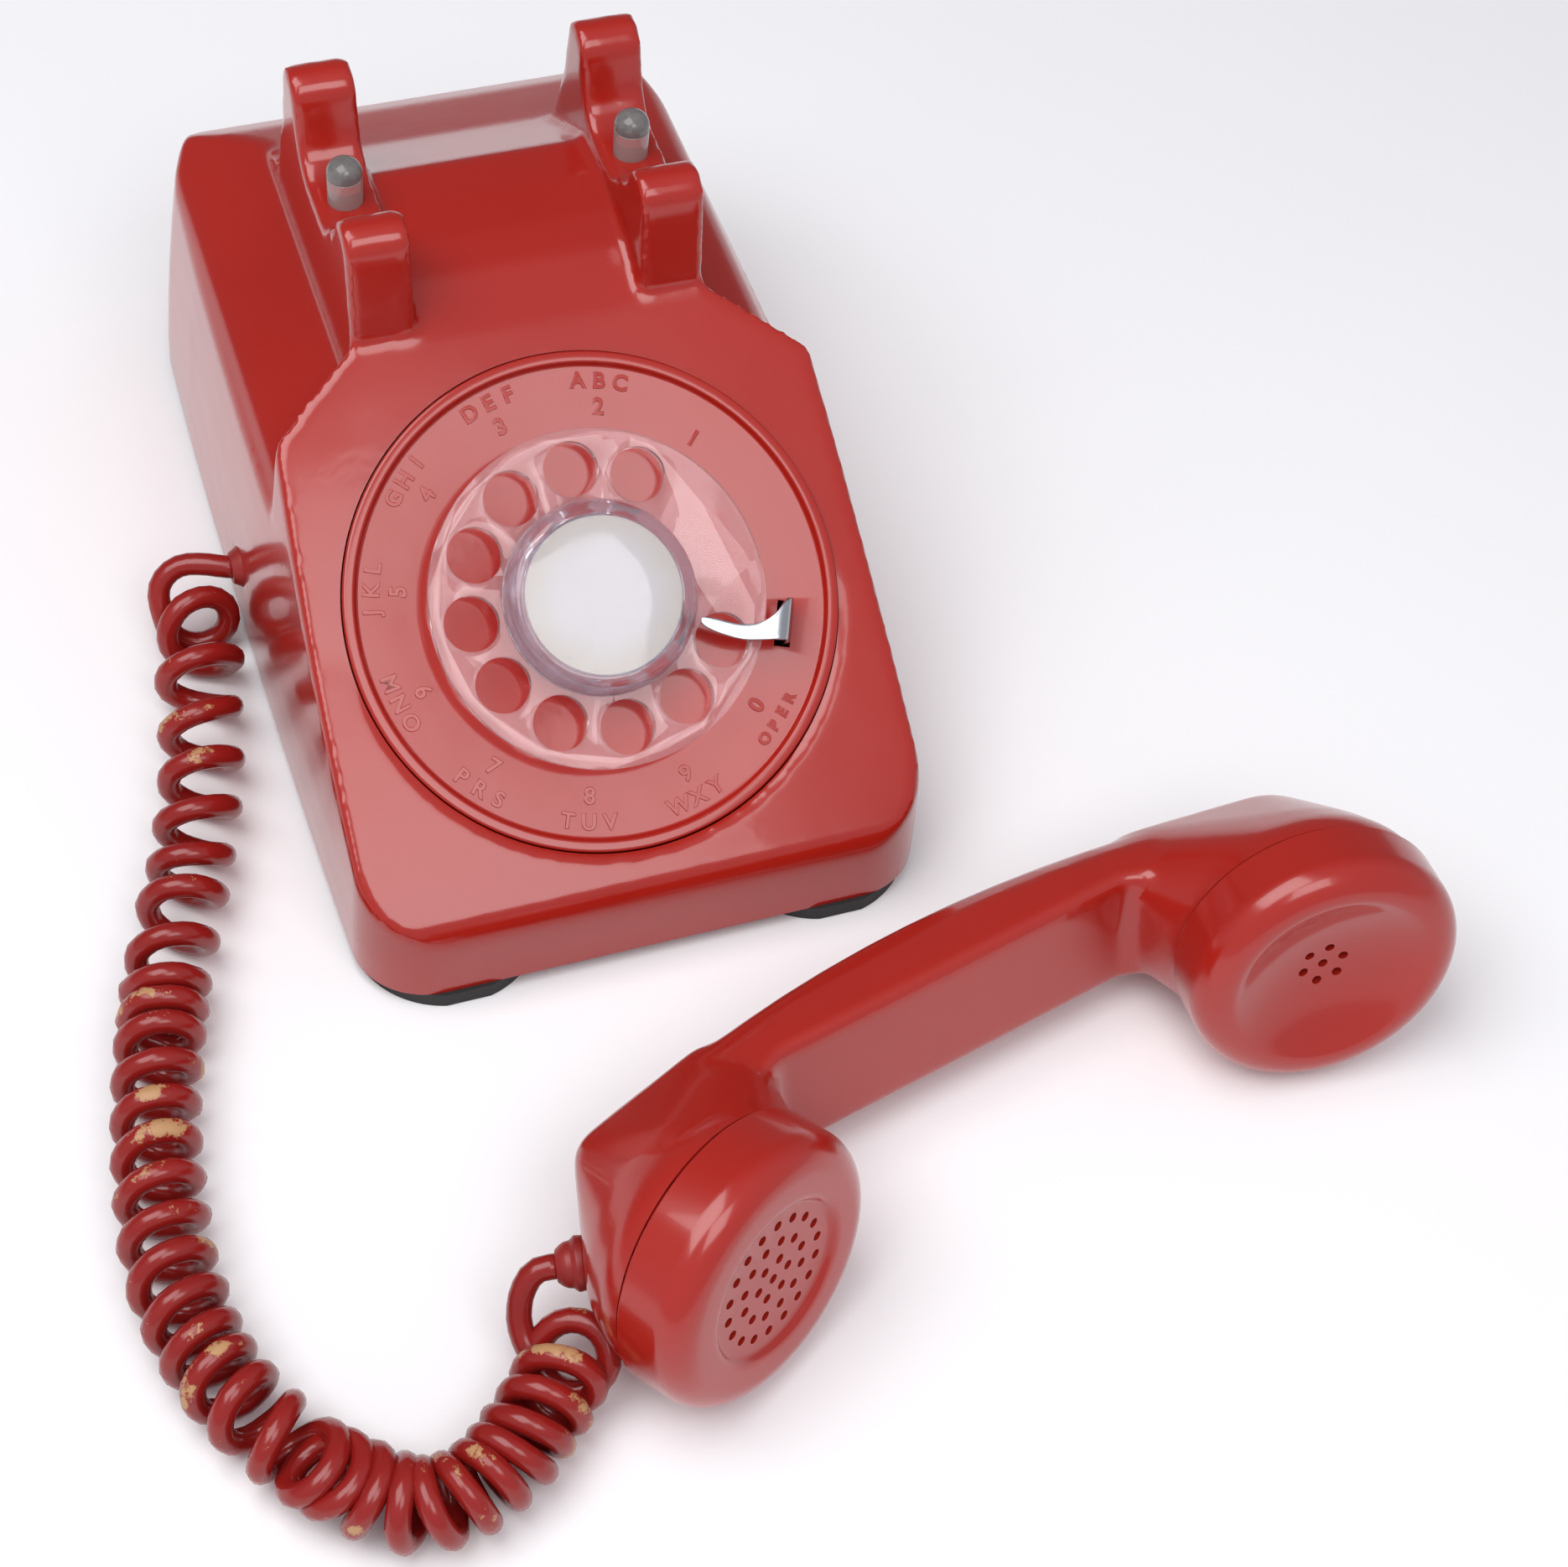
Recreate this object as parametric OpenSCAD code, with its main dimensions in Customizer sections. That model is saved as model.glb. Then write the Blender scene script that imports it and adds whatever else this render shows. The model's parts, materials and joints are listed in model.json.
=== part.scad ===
// Rotary desk telephone with its handset lying off the hook in front of the set.
// The origin is at desk level, midway between the four feet's locating holes.
// +X is the right-hand side seen from the front, -Y the front and +Z up.

/* [Case] */
// Width of the case along its lower edge
case_w = 133; // [124:1:160]
// Depth of the case from front edge to rear edge
case_d = 231; // [222:1:278]
// Wall thickness of the case moulding
case_wall = 3; // [2.4:0.1:3.6]
// Height of the case's lower edge above the desk
rim_z = 4; // [3.4:0.2:5]
// Slope of the dial face from horizontal
face_slope = 35.2; // [33:0.2:37]
// Radius of the front corners in plan
front_corner_r = 17; // [14:1:21]
// Radius of the rear corners in plan
rear_corner_r = 27; // [22:1:33]
// Sideways growth of each wall half way back
side_bow = 1; // [0.4:0.2:1.6]

/* [Cradle] */
// Height of the saddle's crest between the pedestals
crest_z = 105.5; // [104:0.5:108]
// Gap between the two pedestals
cradle_gap = 51.6; // [46:0.2:54]
// Thickness of each pedestal across the set
pedestal_t = 14.6; // [13:0.2:16]
// Height of the front horns
front_horn_z = 125; // [122:0.5:128]
// Height of the rear horns
rear_horn_z = 128.4; // [126:0.5:132]
// Height of the cradle trough's lowest point
trough_z = 109; // [107:0.5:110]

/* [Hook switch] */
// Diameter of each cradle plunger
plunger_d = 8; // [6.6:0.1:9.6]
// Height of a plunger's tip at rest
plunger_tip_z = 120.3; // [118:0.1:122]
// Travel of a plunger
plunger_travel = 6.5; // [5:0.1:7]
// Length of the switch lever from its pivot to the plungers
hook_arm = 28; // [26:0.5:30]

/* [Dial] */
// Diameter of the number plate over its rim
plate_d = 111; // [92:1:114]
// Diameter of the clear fingerwheel
wheel_d = 75.4; // [72:0.2:80]
// Diameter of a finger hole
finger_d = 12.4; // [10.4:0.2:14]
// Radius of the circle through the finger holes
finger_circle_r = 29; // [28:0.1:30]
// Thickness of the fingerwheel
wheel_t = 3; // [2.4:0.1:3.6]
// Diameter of the clear card retainer
retainer_d = 43.6; // [40:0.2:45]
// Diameter of the number card
card_d = 33.4; // [30:0.2:36]
// Diameter of the dial's main shaft
dial_shaft_d = 6; // [5:0.1:7.2]

/* [Ringer] */
// Diameter of the lower-pitched gong
gong_a_d = 50; // [42:1:52]
// Diameter of the higher-pitched gong
gong_b_d = 47; // [40:1:50]
// Diameter of the ringer coil
coil_d = 22; // [18:0.5:26]

/* [Handset] */
// Distance between the centres of the two cap faces
cap_pitch = 144; // [140:1:175]
// Diameter of the transmitter cap
mouth_cap_d = 62; // [56:0.5:66]
// Diameter of the receiver cap
ear_cap_d = 62; // [54:0.5:66]
// Height of each cap's skirt
cap_h = 17; // [15:0.5:20]
// Inward tilt of each cap
cap_tilt = 17.5; // [15:0.5:20]
// Width of the handle
handle_w = 32; // [26:0.5:36]
// Depth of the handle at its middle
handle_t = 22.5; // [18:0.5:26]

/* [Cord] */
// Diameter of the handset cord
cord_d = 5.4; // [4.8:0.1:6]
// Outer diameter of the curled cord
curl_d = 20.5; // [18:0.5:22]

/* [Hidden] */
$fn = 64;
press = 0.02;                    // gap between pieces pressed together
run = 0.05;                      // radial clearance of a shaft in its bore
slip = 0.3;                      // clearance between moving or fitted mouldings

red = "#A8322C";
dark_red = "#8E2A26";
steel = "#B9BCBE";
brass = "#C2A35A";
clear = [0.86, 0.80, 0.80, 0.45];
smoke = [0.45, 0.42, 0.42, 0.7];

front_y = 5.5 - case_d / 2;      // case front edge
rear_y = front_y + case_d;
half_w = case_w / 2;
inner_gap = 0.3;                 // base plate to case wall

// Dial centre on the plane of the number plate's rim
dial_y = front_y + 54.6;
dial_z = 61;
rim_rise = 1.5;                  // rim above the sloping face
plate_r = plate_d / 2;
dial_hole_r = plate_r + 0.6;

// Cradle places, measured back from the front edge
cradle_y = front_y + 142.3;      // plungers and lowest point of the troughs
tower_y = front_y + 109.4;       // front of the pedestals
crest_y = front_y + 153;
ped_in = cradle_gap / 2;
ped_out = ped_in + pedestal_t;
ped_mid = ped_in + pedestal_t / 2;
ped_back_y = crest_y + 30;

// Fixings
foot_inset_x = 22.5;              // foot centres, in from the case's sides
foot_inset_y = 25.5;
foot_x = half_w - foot_inset_x;
foot_y = case_d / 2 - foot_inset_y;
foot_hole_r = 2.2;
foot_stem_r = 3.4;
foot_pad_r = 21.5;
foot_proud = 0.9;                // feet beyond the case wall
boss_r = 4.5;
boss_x = half_w - 8;
boss_front_y = dial_y - 12;
boss_rear_y = cradle_y + 16;
boss_h_front = 28;
boss_h_rear = 52;
screw_r = 2;
plate_t = 1.5;
floor_z = rim_z + plate_t;       // top of the base plate

// ---------- general shapes ----------

// Points of an arc in the plane
function arc(cx, cy, r, a0, a1, n) =
  [for (i = [0 : n]) let (a = a0 + (a1 - a0) * i / n) [cx + r * cos(a), cy + r * sin(a)]];

// Solid through a stack of closed rings that have the same number of points
module loft(rings) {
  n = len(rings[0]);
  m = len(rings);
  points = [for (ring = rings) for (p = ring) p];
  walls = [for (j = [0 : m - 2]) for (i = [0 : n - 1])
    let (a = j * n + i, b = j * n + (i + 1) % n) [a, a + n, b + n, b]];
  polyhedron(points = points, convexity = 4,
    faces = concat([[for (i = [0 : n - 1]) i]], walls,
      [[for (i = [0 : n - 1]) m * n - 1 - i]]));
}

function unit(v) = v / norm(v);
function route_dir(p, i) = unit(p[min(i + 1, len(p) - 1)] - p[max(i - 1, 0)]);
// Frame across a route: a level direction and the one square to it
function across(d) = let (s = norm([d[0], d[1]]) < 0.01 ? [1, 0, 0] : unit(cross(d, [0, 0, 1])))
  [s, cross(s, d)];
// Catmull-Rom point between p[i] and p[i + 1]
function smooth_point(p, i, t) =
  let (a = p[max(i - 1, 0)], b = p[i], c = p[i + 1], d = p[min(i + 2, len(p) - 1)])
  0.5 * (2 * b + (c - a) * t + (2 * a - 5 * b + 4 * c - d) * t * t
    + (3 * b - a - 3 * c + d) * t * t * t);
function smooth_route(p, n) = concat(
  [for (i = [0 : len(p) - 2]) for (k = [0 : n - 1]) smooth_point(p, i, k / n)],
  [p[len(p) - 1]]);

// Tube of radius r along a route
module tube(p, r, sides) {
  loft([for (i = [0 : len(p) - 1]) let (f = across(route_dir(p, i)))
    [for (k = [0 : sides - 1]) let (a = -360 * k / sides)
      p[i] + r * (cos(a) * f[0] + sin(a) * f[1])]]);
}

// Coil spring of wire, standing on its lower end
module coil_spring(r, wire_r, height, turns) {
  steps = turns * 14;
  tube([for (i = [0 : steps]) let (a = i * 360 / 14)
    [r * cos(a), r * sin(a), wire_r + (height - 2 * wire_r) * i / steps]], wire_r, 6);
}

// Spur gear with straight-flanked teeth, a little thinner than half the pitch
module spur_gear(teeth, mod, face_w, bore_r) {
  r = teeth * mod / 2;
  step = 360 / teeth;
  difference() {
    linear_extrude(face_w) polygon([for (i = [0 : teeth - 1]) for (q = [
      [-0.33, -1.2], [-0.17, 0.1], [-0.09, 0.85], [0.09, 0.85], [0.17, 0.1], [0.33, -1.2]])
      let (a = (i + q[0]) * step, rr = r + q[1] * mod) [rr * cos(a), rr * sin(a)]]);
    translate([0, 0, -1]) cylinder(r = bore_r, h = face_w + 2);
  }
}

module mirror_x() {
  children();
  mirror([1, 0, 0]) children();
}

// ---------- case ----------

// Half width of the case wall at height z: a slight, growing draft
function wall_x(z, inset) = half_w - inset - 0.02 * (z - rim_z) - 0.00065 * pow(z - rim_z, 2);

// Plan outline of the case at height z, drawn in by inset
function case_ring(z, inset) =
  let (w = wall_x(z, inset), wf = w, wr = w - 0.4,
    rf = front_corner_r - inset, rr = rear_corner_r - inset + 0.14 * (z - rim_z),
    yf = front_y + inset, yr = rear_y - inset - 0.02 * (z - rim_z),
    right = concat(
      arc(wf - rf, yf + rf, rf, -90, -8, 8),
      [for (t = [-0.75 : 0.25 : 0.75])
        [(wf + wr) / 2 + (wr - wf) / 2 * t + side_bow * 1.3 * (1 - t * t),
         (yf + rf + yr - rr) / 2 + (yr - rr - yf - rf) / 2 * t]],
      arc(wr - rr, yr - rr, rr, 8, 90, 10)))
  [for (p = concat(right, [for (i = [len(right) - 1 : -1 : 0]) [-right[i][0], right[i][1]]]))
    [p[0], p[1], z]];

function flat(ring) = [for (p = ring) [p[0], p[1]]];

// Height of the sloping face at y, and of the rear slope behind the crest
face_top = dial_z - rim_rise / cos(face_slope);
function face_z(y) = face_top + (y - dial_y) * tan(face_slope);

// Side outline of the case without its pedestals, drawn in by a wall
module side_profile(inset) {
  lift = inset / cos(face_slope);
  polygon(concat(
    [[front_y + inset, rim_z - 20]],
    [[front_y + inset, 14]],
    arc(front_y + 9 + inset, 19.5 - lift / 2, 9, 180, 90 + face_slope + 8, 5),
    [[dial_y, face_z(dial_y) - lift], [tower_y - 1, face_z(tower_y - 1) - lift]],
    [[tower_y + 10, crest_z - 2.6 - inset], [tower_y + 20, crest_z - 0.8 - inset],
     [tower_y + 32, crest_z - inset], [crest_y - 0.3 * inset, crest_z - 0.4 - inset]],
    [[ped_back_y, 86 - 1.2 * inset]],
    [[rear_y - 25 - inset / 2, 76.5 - inset], [rear_y - 16 - inset / 2, 70.5 - inset],
     [rear_y - 9 - inset, 62.5 - inset], [rear_y - 4.5 - inset, 51], [rear_y - 2 - inset, 34],
     [rear_y - inset, rim_z], [rear_y - inset, rim_z - 20]]));
}

// Cross-section of the shoulders beside the pedestals
shoulder_in_z = 80;
shoulder_fall = 0.42;
module shoulder_section(inset) {
  edge = wall_x(66, 0);
  edge_z = shoulder_in_z - shoulder_fall * (edge - ped_out) - inset;
  half = [[0, rim_z - 20], [edge + 30, rim_z - 20], [edge + 30, edge_z - 14],
    [edge - 0.2, edge_z - 4.5], [edge - 2.2, edge_z - 0.6], [edge - 6, edge_z + 2.3],
    [ped_out - inset, shoulder_in_z - inset + 0.3], [0, shoulder_in_z - inset + 0.3]];
  polygon(half);
  mirror([1, 0]) polygon(half);
}

// Plan of the raised part: full width in front, the pedestals' width behind
module tower_plan(inset) {
  corner = wall_x(88, 0);
  polygon([[-200, front_y - 50], [200, front_y - 50], [200, tower_y - 13.4 - 100 - inset],
    [corner + 40, tower_y - 13.4 - 28.7 - inset], [ped_out - inset, tower_y - inset / 2],
    [ped_out - inset, rear_y + 50], [-ped_out + inset, rear_y + 50],
    [-ped_out + inset, tower_y - inset / 2], [-corner - 40, tower_y - 13.4 - 28.7 - inset],
    [-200, tower_y - 13.4 - 100 - inset]]);
}

module case_body(inset) {
  intersection() {
    loft([for (z = [rim_z - 1, 12, 25, 40, 55, 70, 85, 110]) case_ring(z, inset)]);
    rotate([90, 0, 90]) translate([0, 0, -100]) linear_extrude(200) side_profile(inset);
    union() {
      linear_extrude(140) tower_plan(inset);
      rotate([90, 0, 0]) translate([0, 0, -rear_y - 20])
        linear_extrude(case_d + 60) shoulder_section(inset);
    }
  }
}

// Side outline of one pedestal: front horn, trough, rear horn and back edge
module pedestal_profile() {
  polygon(concat(
    [[tower_y - 0.4, 88], [tower_y - 0.4, 100], [tower_y + 1.6, front_horn_z - 6]],
    arc(tower_y + 7.8, front_horn_z - 6, 6, 172, 20, 8),
    [[tower_y + 15.4, trough_z + 7]],
    arc(cradle_y - 5.5, trough_z + 9, 9, 200, 270, 6),
    arc(cradle_y + 4.5, trough_z + 10, 10, 270, 335, 6),
    [[cradle_y + 15.5, rear_horn_z - 7]],
    arc(cradle_y + 22, rear_horn_z - 6, 6, 165, 20, 8),
    [[crest_y + 19.5, crest_z + 5], [ped_back_y, 84], [ped_back_y - 8, 80]]));
}

module pedestal_core() {
  polygon([[tower_y + 4, 70], [tower_y + 4, 98], [tower_y + 6, 108], [tower_y + 11, trough_z - 3],
    [cradle_y + 10, trough_z - 3], [cradle_y + 17, 116], [cradle_y + 23, 116],
    [crest_y + 14, crest_z - 4], [ped_back_y - 8, 76]]);
}

module along_x(x0, x1) {
  translate([x0, 0, 0]) rotate([90, 0, 90]) linear_extrude(x1 - x0) children();
}

module in_dial() {
  translate([0, dial_y, dial_z]) rotate([face_slope, 0, 0]) children();
}

grommet_pos = [-wall_x(20, 0) - 0.9, 10, 20];
inlet_pos = [0, rear_y - 0.6, 16];
inlet_r = 5;
grommet_r = 5;
plunger_r = plunger_d / 2;

module screw_places() {
  for (s = [-1, 1]) {
    translate([s * boss_x, boss_front_y, 0]) children();
    translate([s * boss_x, boss_rear_y, 0]) children();
  }
}

module housing() {
  color(red) difference() {
    union() {
      difference() {
        union() {
          intersection() {
            case_body(0);
            translate([-150, -250, rim_z]) cube([300, 500, 200]);
          }
          along_x(ped_in, ped_out) pedestal_profile();
          along_x(-ped_out, -ped_in) pedestal_profile();
        }
        case_body(case_wall);
        along_x(ped_in + 2.6, ped_out - 2.6) pedestal_core();
        along_x(-ped_out + 2.6, -ped_in - 2.6) pedestal_core();
      }
      intersection() {
        case_body(case_wall / 2);
        for (s = [-1, 1]) {
          translate([s * boss_x, boss_front_y, floor_z]) cylinder(r = boss_r, h = boss_h_front);
          translate([s * boss_x, boss_rear_y, floor_z]) cylinder(r = boss_r, h = boss_h_rear);
        }
      }
      mirror_x() translate([ped_mid, cradle_y, trough_z - 5.5 - plunger_travel])
        cylinder(r = plunger_r + 2.2, h = 4 + plunger_travel);
    }
    screw_places() translate([0, 0, floor_z - 1]) cylinder(r = screw_r + press, h = 19);
    in_dial() translate([0, 0, -9]) cylinder(r = dial_hole_r, h = 20, $fn = 96);
    mirror_x() translate([ped_mid, cradle_y, trough_z - 20])
      cylinder(r = plunger_r + 0.08, h = 30);
    translate([grommet_pos[0] - 6, grommet_pos[1], grommet_pos[2]]) rotate([0, 90, 0])
      cylinder(r = grommet_r + press, h = 16);
    translate(inlet_pos) rotate([90, 0, 0]) translate([0, 0, -5])
      cylinder(r = inlet_r + press, h = 14);
  }
}

volume_x = 30;
volume_y = rear_y - 70;
volume_r = 10;
strap_z = 7.4;                   // strap over the loudness wheel

module base_plate() {
  inset = case_wall + inner_gap;
  color(steel) difference() {
    translate([0, 0, rim_z]) linear_extrude(plate_t) polygon(flat(case_ring(rim_z + 2, inset)));
    screw_places() translate([0, 0, rim_z - 1]) cylinder(r = screw_r + 0.2, h = 5);
    for (sx = [-1, 1]) for (sy = [-1, 1])
      translate([sx * foot_x, sy * foot_y, rim_z - 1]) cylinder(r = foot_stem_r + press, h = 5);
    translate([volume_x, volume_y, rim_z - 1]) cylinder(r = volume_r + 0.6, h = 5);
  }
}

// Rubber foot: a pad that follows the case's corner, with a stem through the base plate
module foot(sx, sy) {
  color("#2B2A2A") difference() {
    union() {
      intersection() {
        linear_extrude(rim_z) polygon(flat(case_ring(rim_z, -foot_proud)));
        translate([sx * foot_x, sy * foot_y, 0]) cylinder(r = foot_pad_r, h = rim_z);
      }
      translate([sx * foot_x, sy * foot_y, 0]) cylinder(r = foot_stem_r, h = floor_z + 1.5);
    }
    translate([sx * foot_x, sy * foot_y, -1]) cylinder(r = foot_hole_r, h = floor_z);
  }
}

module case_screws() {
  color(steel) screw_places() {
    translate([0, 0, rim_z - 2.2]) cylinder(r = 3.8, h = 2.2);
    translate([0, 0, rim_z - 0.1]) cylinder(r = screw_r, h = 17);
  }
}

// Rubber bush where the line cord enters
module line_cord_inlet() {
  color("#2B2A2A") translate(inlet_pos) rotate([90, 0, 0]) difference() {
    union() {
      translate([0, 0, -1.5]) cylinder(r = inlet_r, h = 8);
      translate([0, 0, -2.5]) cylinder(r = inlet_r + 1.6, h = 2.2);
      translate([0, 0, case_wall + 1]) cylinder(r = inlet_r + 1.6, h = 2);
    }
    translate([0, 0, -4]) cylinder(r = 2.8, h = 14);
  }
}

module handset_cord_grommet() {
  color(dark_red) translate(grommet_pos) rotate([0, 90, 0]) {
    translate([0, 0, 0.4]) cylinder(r = grommet_r, h = case_wall + 3);
    translate([0, 0, -1.6]) cylinder(r = grommet_r - 1, h = 2.4);
    translate([0, 0, case_wall + 2.4]) cylinder(r = grommet_r + 1.4, h = 2);
  }
}

// ---------- dial ----------

mech_r = 38;                     // radius of the dial's steel plates
plate_top = -1.6;                // number plate's face below its rim
front_plate_z = -8;
rear_plate_z = -23;
steel_t = 1.4;
gear_z = -12;
gear_w = 1.6;
main_teeth = 72;
pinion_teeth = 12;
gear_mod = 0.8;
wheel_teeth = 36;
gov_teeth = 12;
wheel_mod = 0.5;
mesh_gap = 0.12;
shaft_r = dial_shaft_d / 2;
pinion_dist = gear_mod * (main_teeth + pinion_teeth) / 2 + mesh_gap;
pinion_pos = pinion_dist * [cos(120), sin(120), 0];
gov_dist = wheel_mod * (wheel_teeth + gov_teeth) / 2 + mesh_gap;
gov_pos = pinion_pos + gov_dist * [cos(-60), sin(-60), 0];
small_shaft_r = 1.5;
wheel_z = 2;                     // underside of the fingerwheel
lug_x = mech_r + 7;              // dial's fixing lugs
pillar_angles = [20, 160, 270];
pillar_r = 34;
wheel_face = 1.2;                // width of the pulse wheel's teeth
wheel_level = gear_z - 2.6;
weight_level = rear_plate_z + steel_t + 1;
stop_angle = 90 - 108;           // place of the finger stop round the dial
stop_gap = 4;                    // stop's rise beyond the fingerwheel
stop_r = wheel_d / 2 + stop_gap;

// Leg of the dial's bracket, in the set's own frame
module dial_bracket() {
  color(steel) mirror_x() {
    leg_y = dial_y + 6;
    translate([lug_x - 8, leg_y - 10, floor_z]) cube([12, 20, 1.5]);
    difference() {
      translate([lug_x + 2.5, leg_y - 10, floor_z]) cube([1.5, 20, 60]);
      in_dial() translate([0, -60, front_plate_z - 1.5]) cube([100, 120, 60]);
    }
    in_dial() translate([lug_x - 6, -8, front_plate_z - 1.5]) difference() {
      cube([9, 20, 1.5]);
      translate([3, 8, -1]) cylinder(r = 1.6, h = 4);
    }
  }
}

module dial_front_plate() {
  color(steel) in_dial() translate([0, 0, front_plate_z]) difference() {
    union() {
      cylinder(r = mech_r, h = steel_t);
      translate([-lug_x - 2, -7, 0]) cube([2 * lug_x + 4, 14, steel_t]);
    }
    translate([0, 0, -1]) cylinder(r = shaft_r + run, h = 4);
    translate(pinion_pos - [0, 0, 1]) cylinder(r = small_shaft_r + run, h = 4);
    for (s = [-1, 1]) translate([s * (lug_x - 3), 0, -1]) cylinder(r = 1.6, h = 4);
    for (a = pillar_angles) rotate(a) translate([pillar_r, 0, -1]) cylinder(r = 1.5 + press, h = 4);
  }
}

module dial_rear_plate() {
  color(steel) in_dial() translate([0, 0, rear_plate_z]) difference() {
    cylinder(r = mech_r, h = steel_t);
    translate([0, 0, -1]) cylinder(r = shaft_r + run, h = 4);
    translate(pinion_pos - [0, 0, 1]) cylinder(r = small_shaft_r + run, h = 4);
    translate(gov_pos - [0, 0, 1]) cylinder(r = small_shaft_r + run, h = 4);
    for (a = pillar_angles) rotate(a) translate([pillar_r, 0, -1]) cylinder(r = 1.5 + press, h = 4);
  }
}

module dial_pillars() {
  color(brass) in_dial() for (a = pillar_angles) rotate(a) translate([pillar_r, 0, 0]) {
    translate([0, 0, rear_plate_z + steel_t])
      cylinder(r = 2.6, h = front_plate_z - rear_plate_z - steel_t);
    translate([0, 0, rear_plate_z - 1]) cylinder(r = 1.5, h = plate_top - 2 - rear_plate_z);
    translate([0, 0, front_plate_z + steel_t])
      cylinder(r = 2.6, h = plate_top - 2 - front_plate_z - steel_t);
  }
}

module number_plate() {
  color(red) in_dial() difference() {
    union() {
      translate([0, 0, plate_top - 2]) cylinder(r = plate_r - 1.5, h = 2, $fn = 96);
      difference() {
        translate([0, 0, -5]) cylinder(r = plate_r, h = 5, $fn = 96);
        translate([0, 0, -6]) cylinder(r = plate_r - 2, h = 8, $fn = 96);
      }
    }
    translate([0, 0, -6]) cylinder(r = shaft_r + 3, h = 8);
    rotate(stop_angle) translate([stop_r, 0, -6]) translate([-3.4, -5.6, 0]) cube([6.8, 11.2, 8]);
    for (a = pillar_angles) rotate(a) translate([pillar_r, 0, -6]) cylinder(r = 1.5 + press, h = 8);
  }
}

// Chrome finger stop: a foot in the plate's slot, a rise and an arm over the wheel
module finger_stop() {
  reach = stop_r - retainer_d / 2 - 0.8;
  top = wheel_z + wheel_t + 1.4;
  color("#D9DBDD") in_dial() rotate(stop_angle) {
    translate([stop_r - 0.7, -5, front_plate_z + steel_t]) cube([1.4, 10, top - front_plate_z - 2]);
    translate([stop_r - 3, -5, front_plate_z + steel_t]) cube([4, 10, 1]);
    translate([stop_r + 0.7, 0, top - 1.2]) rotate([90, 0, 180]) linear_extrude(10, center = true)
      polygon([[0, -1.6], [0, 0], [4, 1.2], [4, 0]]);
    translate([stop_r - 3.3, 0, top - 0.05]) linear_extrude(1.2) polygon([[0.2, -5], [0.2, 5],
      [-reach * 0.5, 1.4], [-reach + 3.4, 0.2], [-reach + 3.2, -2.4], [-reach * 0.5, -2.8]]);
  }
}

module fingerwheel() {
  color(clear) in_dial() translate([0, 0, wheel_z]) difference() {
    cylinder(r = wheel_d / 2, h = wheel_t, $fn = 96);
    translate([0, 0, -1]) cylinder(r = shaft_r + 1.5, h = wheel_t + 2);
    for (i = [0 : 9]) rotate(60 + 30 * i) translate([finger_circle_r, 0, -1])
      cylinder(r = finger_d / 2, h = wheel_t + 2);
  }
}

module wheel_clamp() {
  color(steel) in_dial() difference() {
    union() {
      translate([0, 0, wheel_z + wheel_t]) cylinder(r = 12, h = 1.2);
      translate([0, 0, wheel_z]) cylinder(r = shaft_r + 1.5 - press, h = wheel_t);
      translate([0, 0, wheel_z - 1.2]) cylinder(r = shaft_r + 5, h = 1.2);
    }
    translate([0, 0, -5]) cylinder(r = 1.5 + press, h = 20);
    translate([0, 0, -5]) cylinder(r = shaft_r + press, h = 5 + wheel_z + 1);
  }
}

module dial_screw() {
  color(brass) in_dial() {
    translate([0, 0, wheel_z + wheel_t + 1.2]) cylinder(r = 3.2, h = 1.6);
    translate([0, 0, wheel_z - 4]) cylinder(r = 1.5, h = wheel_t + 5.3);
  }
}

retainer_r = retainer_d / 2;
card_r = card_d / 2;
card_z = 9.4;

module card_retainer() {
  foot_z = wheel_z + wheel_t;
  color(clear) in_dial() rotate_extrude($fn = 96) polygon(concat(
    [[card_r + 3.4, foot_z], [retainer_r, foot_z], [retainer_r, foot_z + 1.4],
     [retainer_r - 1.3, card_z]],
    arc(retainer_r - 3.4, card_z - 0.2, 2, 10, 90, 5),
    [[0, card_z + 1.8], [0, card_z + 0.8], [card_r + 0.6, card_z + 0.8],
     [card_r + 0.6, card_z - 0.6], [card_r + 1.6, card_z - 1.4]]));
}

module number_card() {
  color("#DDD2C4") in_dial() translate([0, 0, card_z]) cylinder(r = card_r, h = 0.7, $fn = 96);
}

module dial_shaft() {
  color(steel) in_dial() difference() {
    union() {
      translate([0, 0, rear_plate_z - 2]) cylinder(r = shaft_r, h = wheel_z + 0.8 - rear_plate_z + 2);
      translate([0, 0, gear_z - 1.2]) cylinder(r = shaft_r + 3, h = 1.2);
    }
    translate([0, 0, wheel_z - 4]) cylinder(r = 1.5 + press, h = 12);
  }
}

module main_gear() {
  color(brass) in_dial() translate([0, 0, gear_z]) rotate(120)
    spur_gear(main_teeth, gear_mod, gear_w, shaft_r + press);
}

module mainspring() {
  color("#8A8F94") in_dial() translate([0, 0, rear_plate_z + steel_t + 0.2])
    coil_spring(shaft_r + 4.5, 0.7, gear_z - 1.2 - rear_plate_z - steel_t - 0.8, 4);
}

// Pinion shaft with its two-lobed pulse cam
module pulse_shaft() {
  color(steel) in_dial() translate(pinion_pos) {
    translate([0, 0, rear_plate_z - 1.2])
      cylinder(r = small_shaft_r, h = front_plate_z + steel_t + 1 - rear_plate_z + 1.2);
    translate([0, 0, gear_z - 0.3]) rotate(120 + 180 + 180 / pinion_teeth)
      spur_gear(pinion_teeth, gear_mod, gear_w + 0.6, small_shaft_r - 0.2);
    translate([0, 0, rear_plate_z + steel_t + 0.6]) linear_extrude(1.6)
      polygon([for (a = [0 : 10 : 350]) (3 + 1.1 * pow(cos(a), 2)) * [cos(a), sin(a)]]);
  }
}

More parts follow.
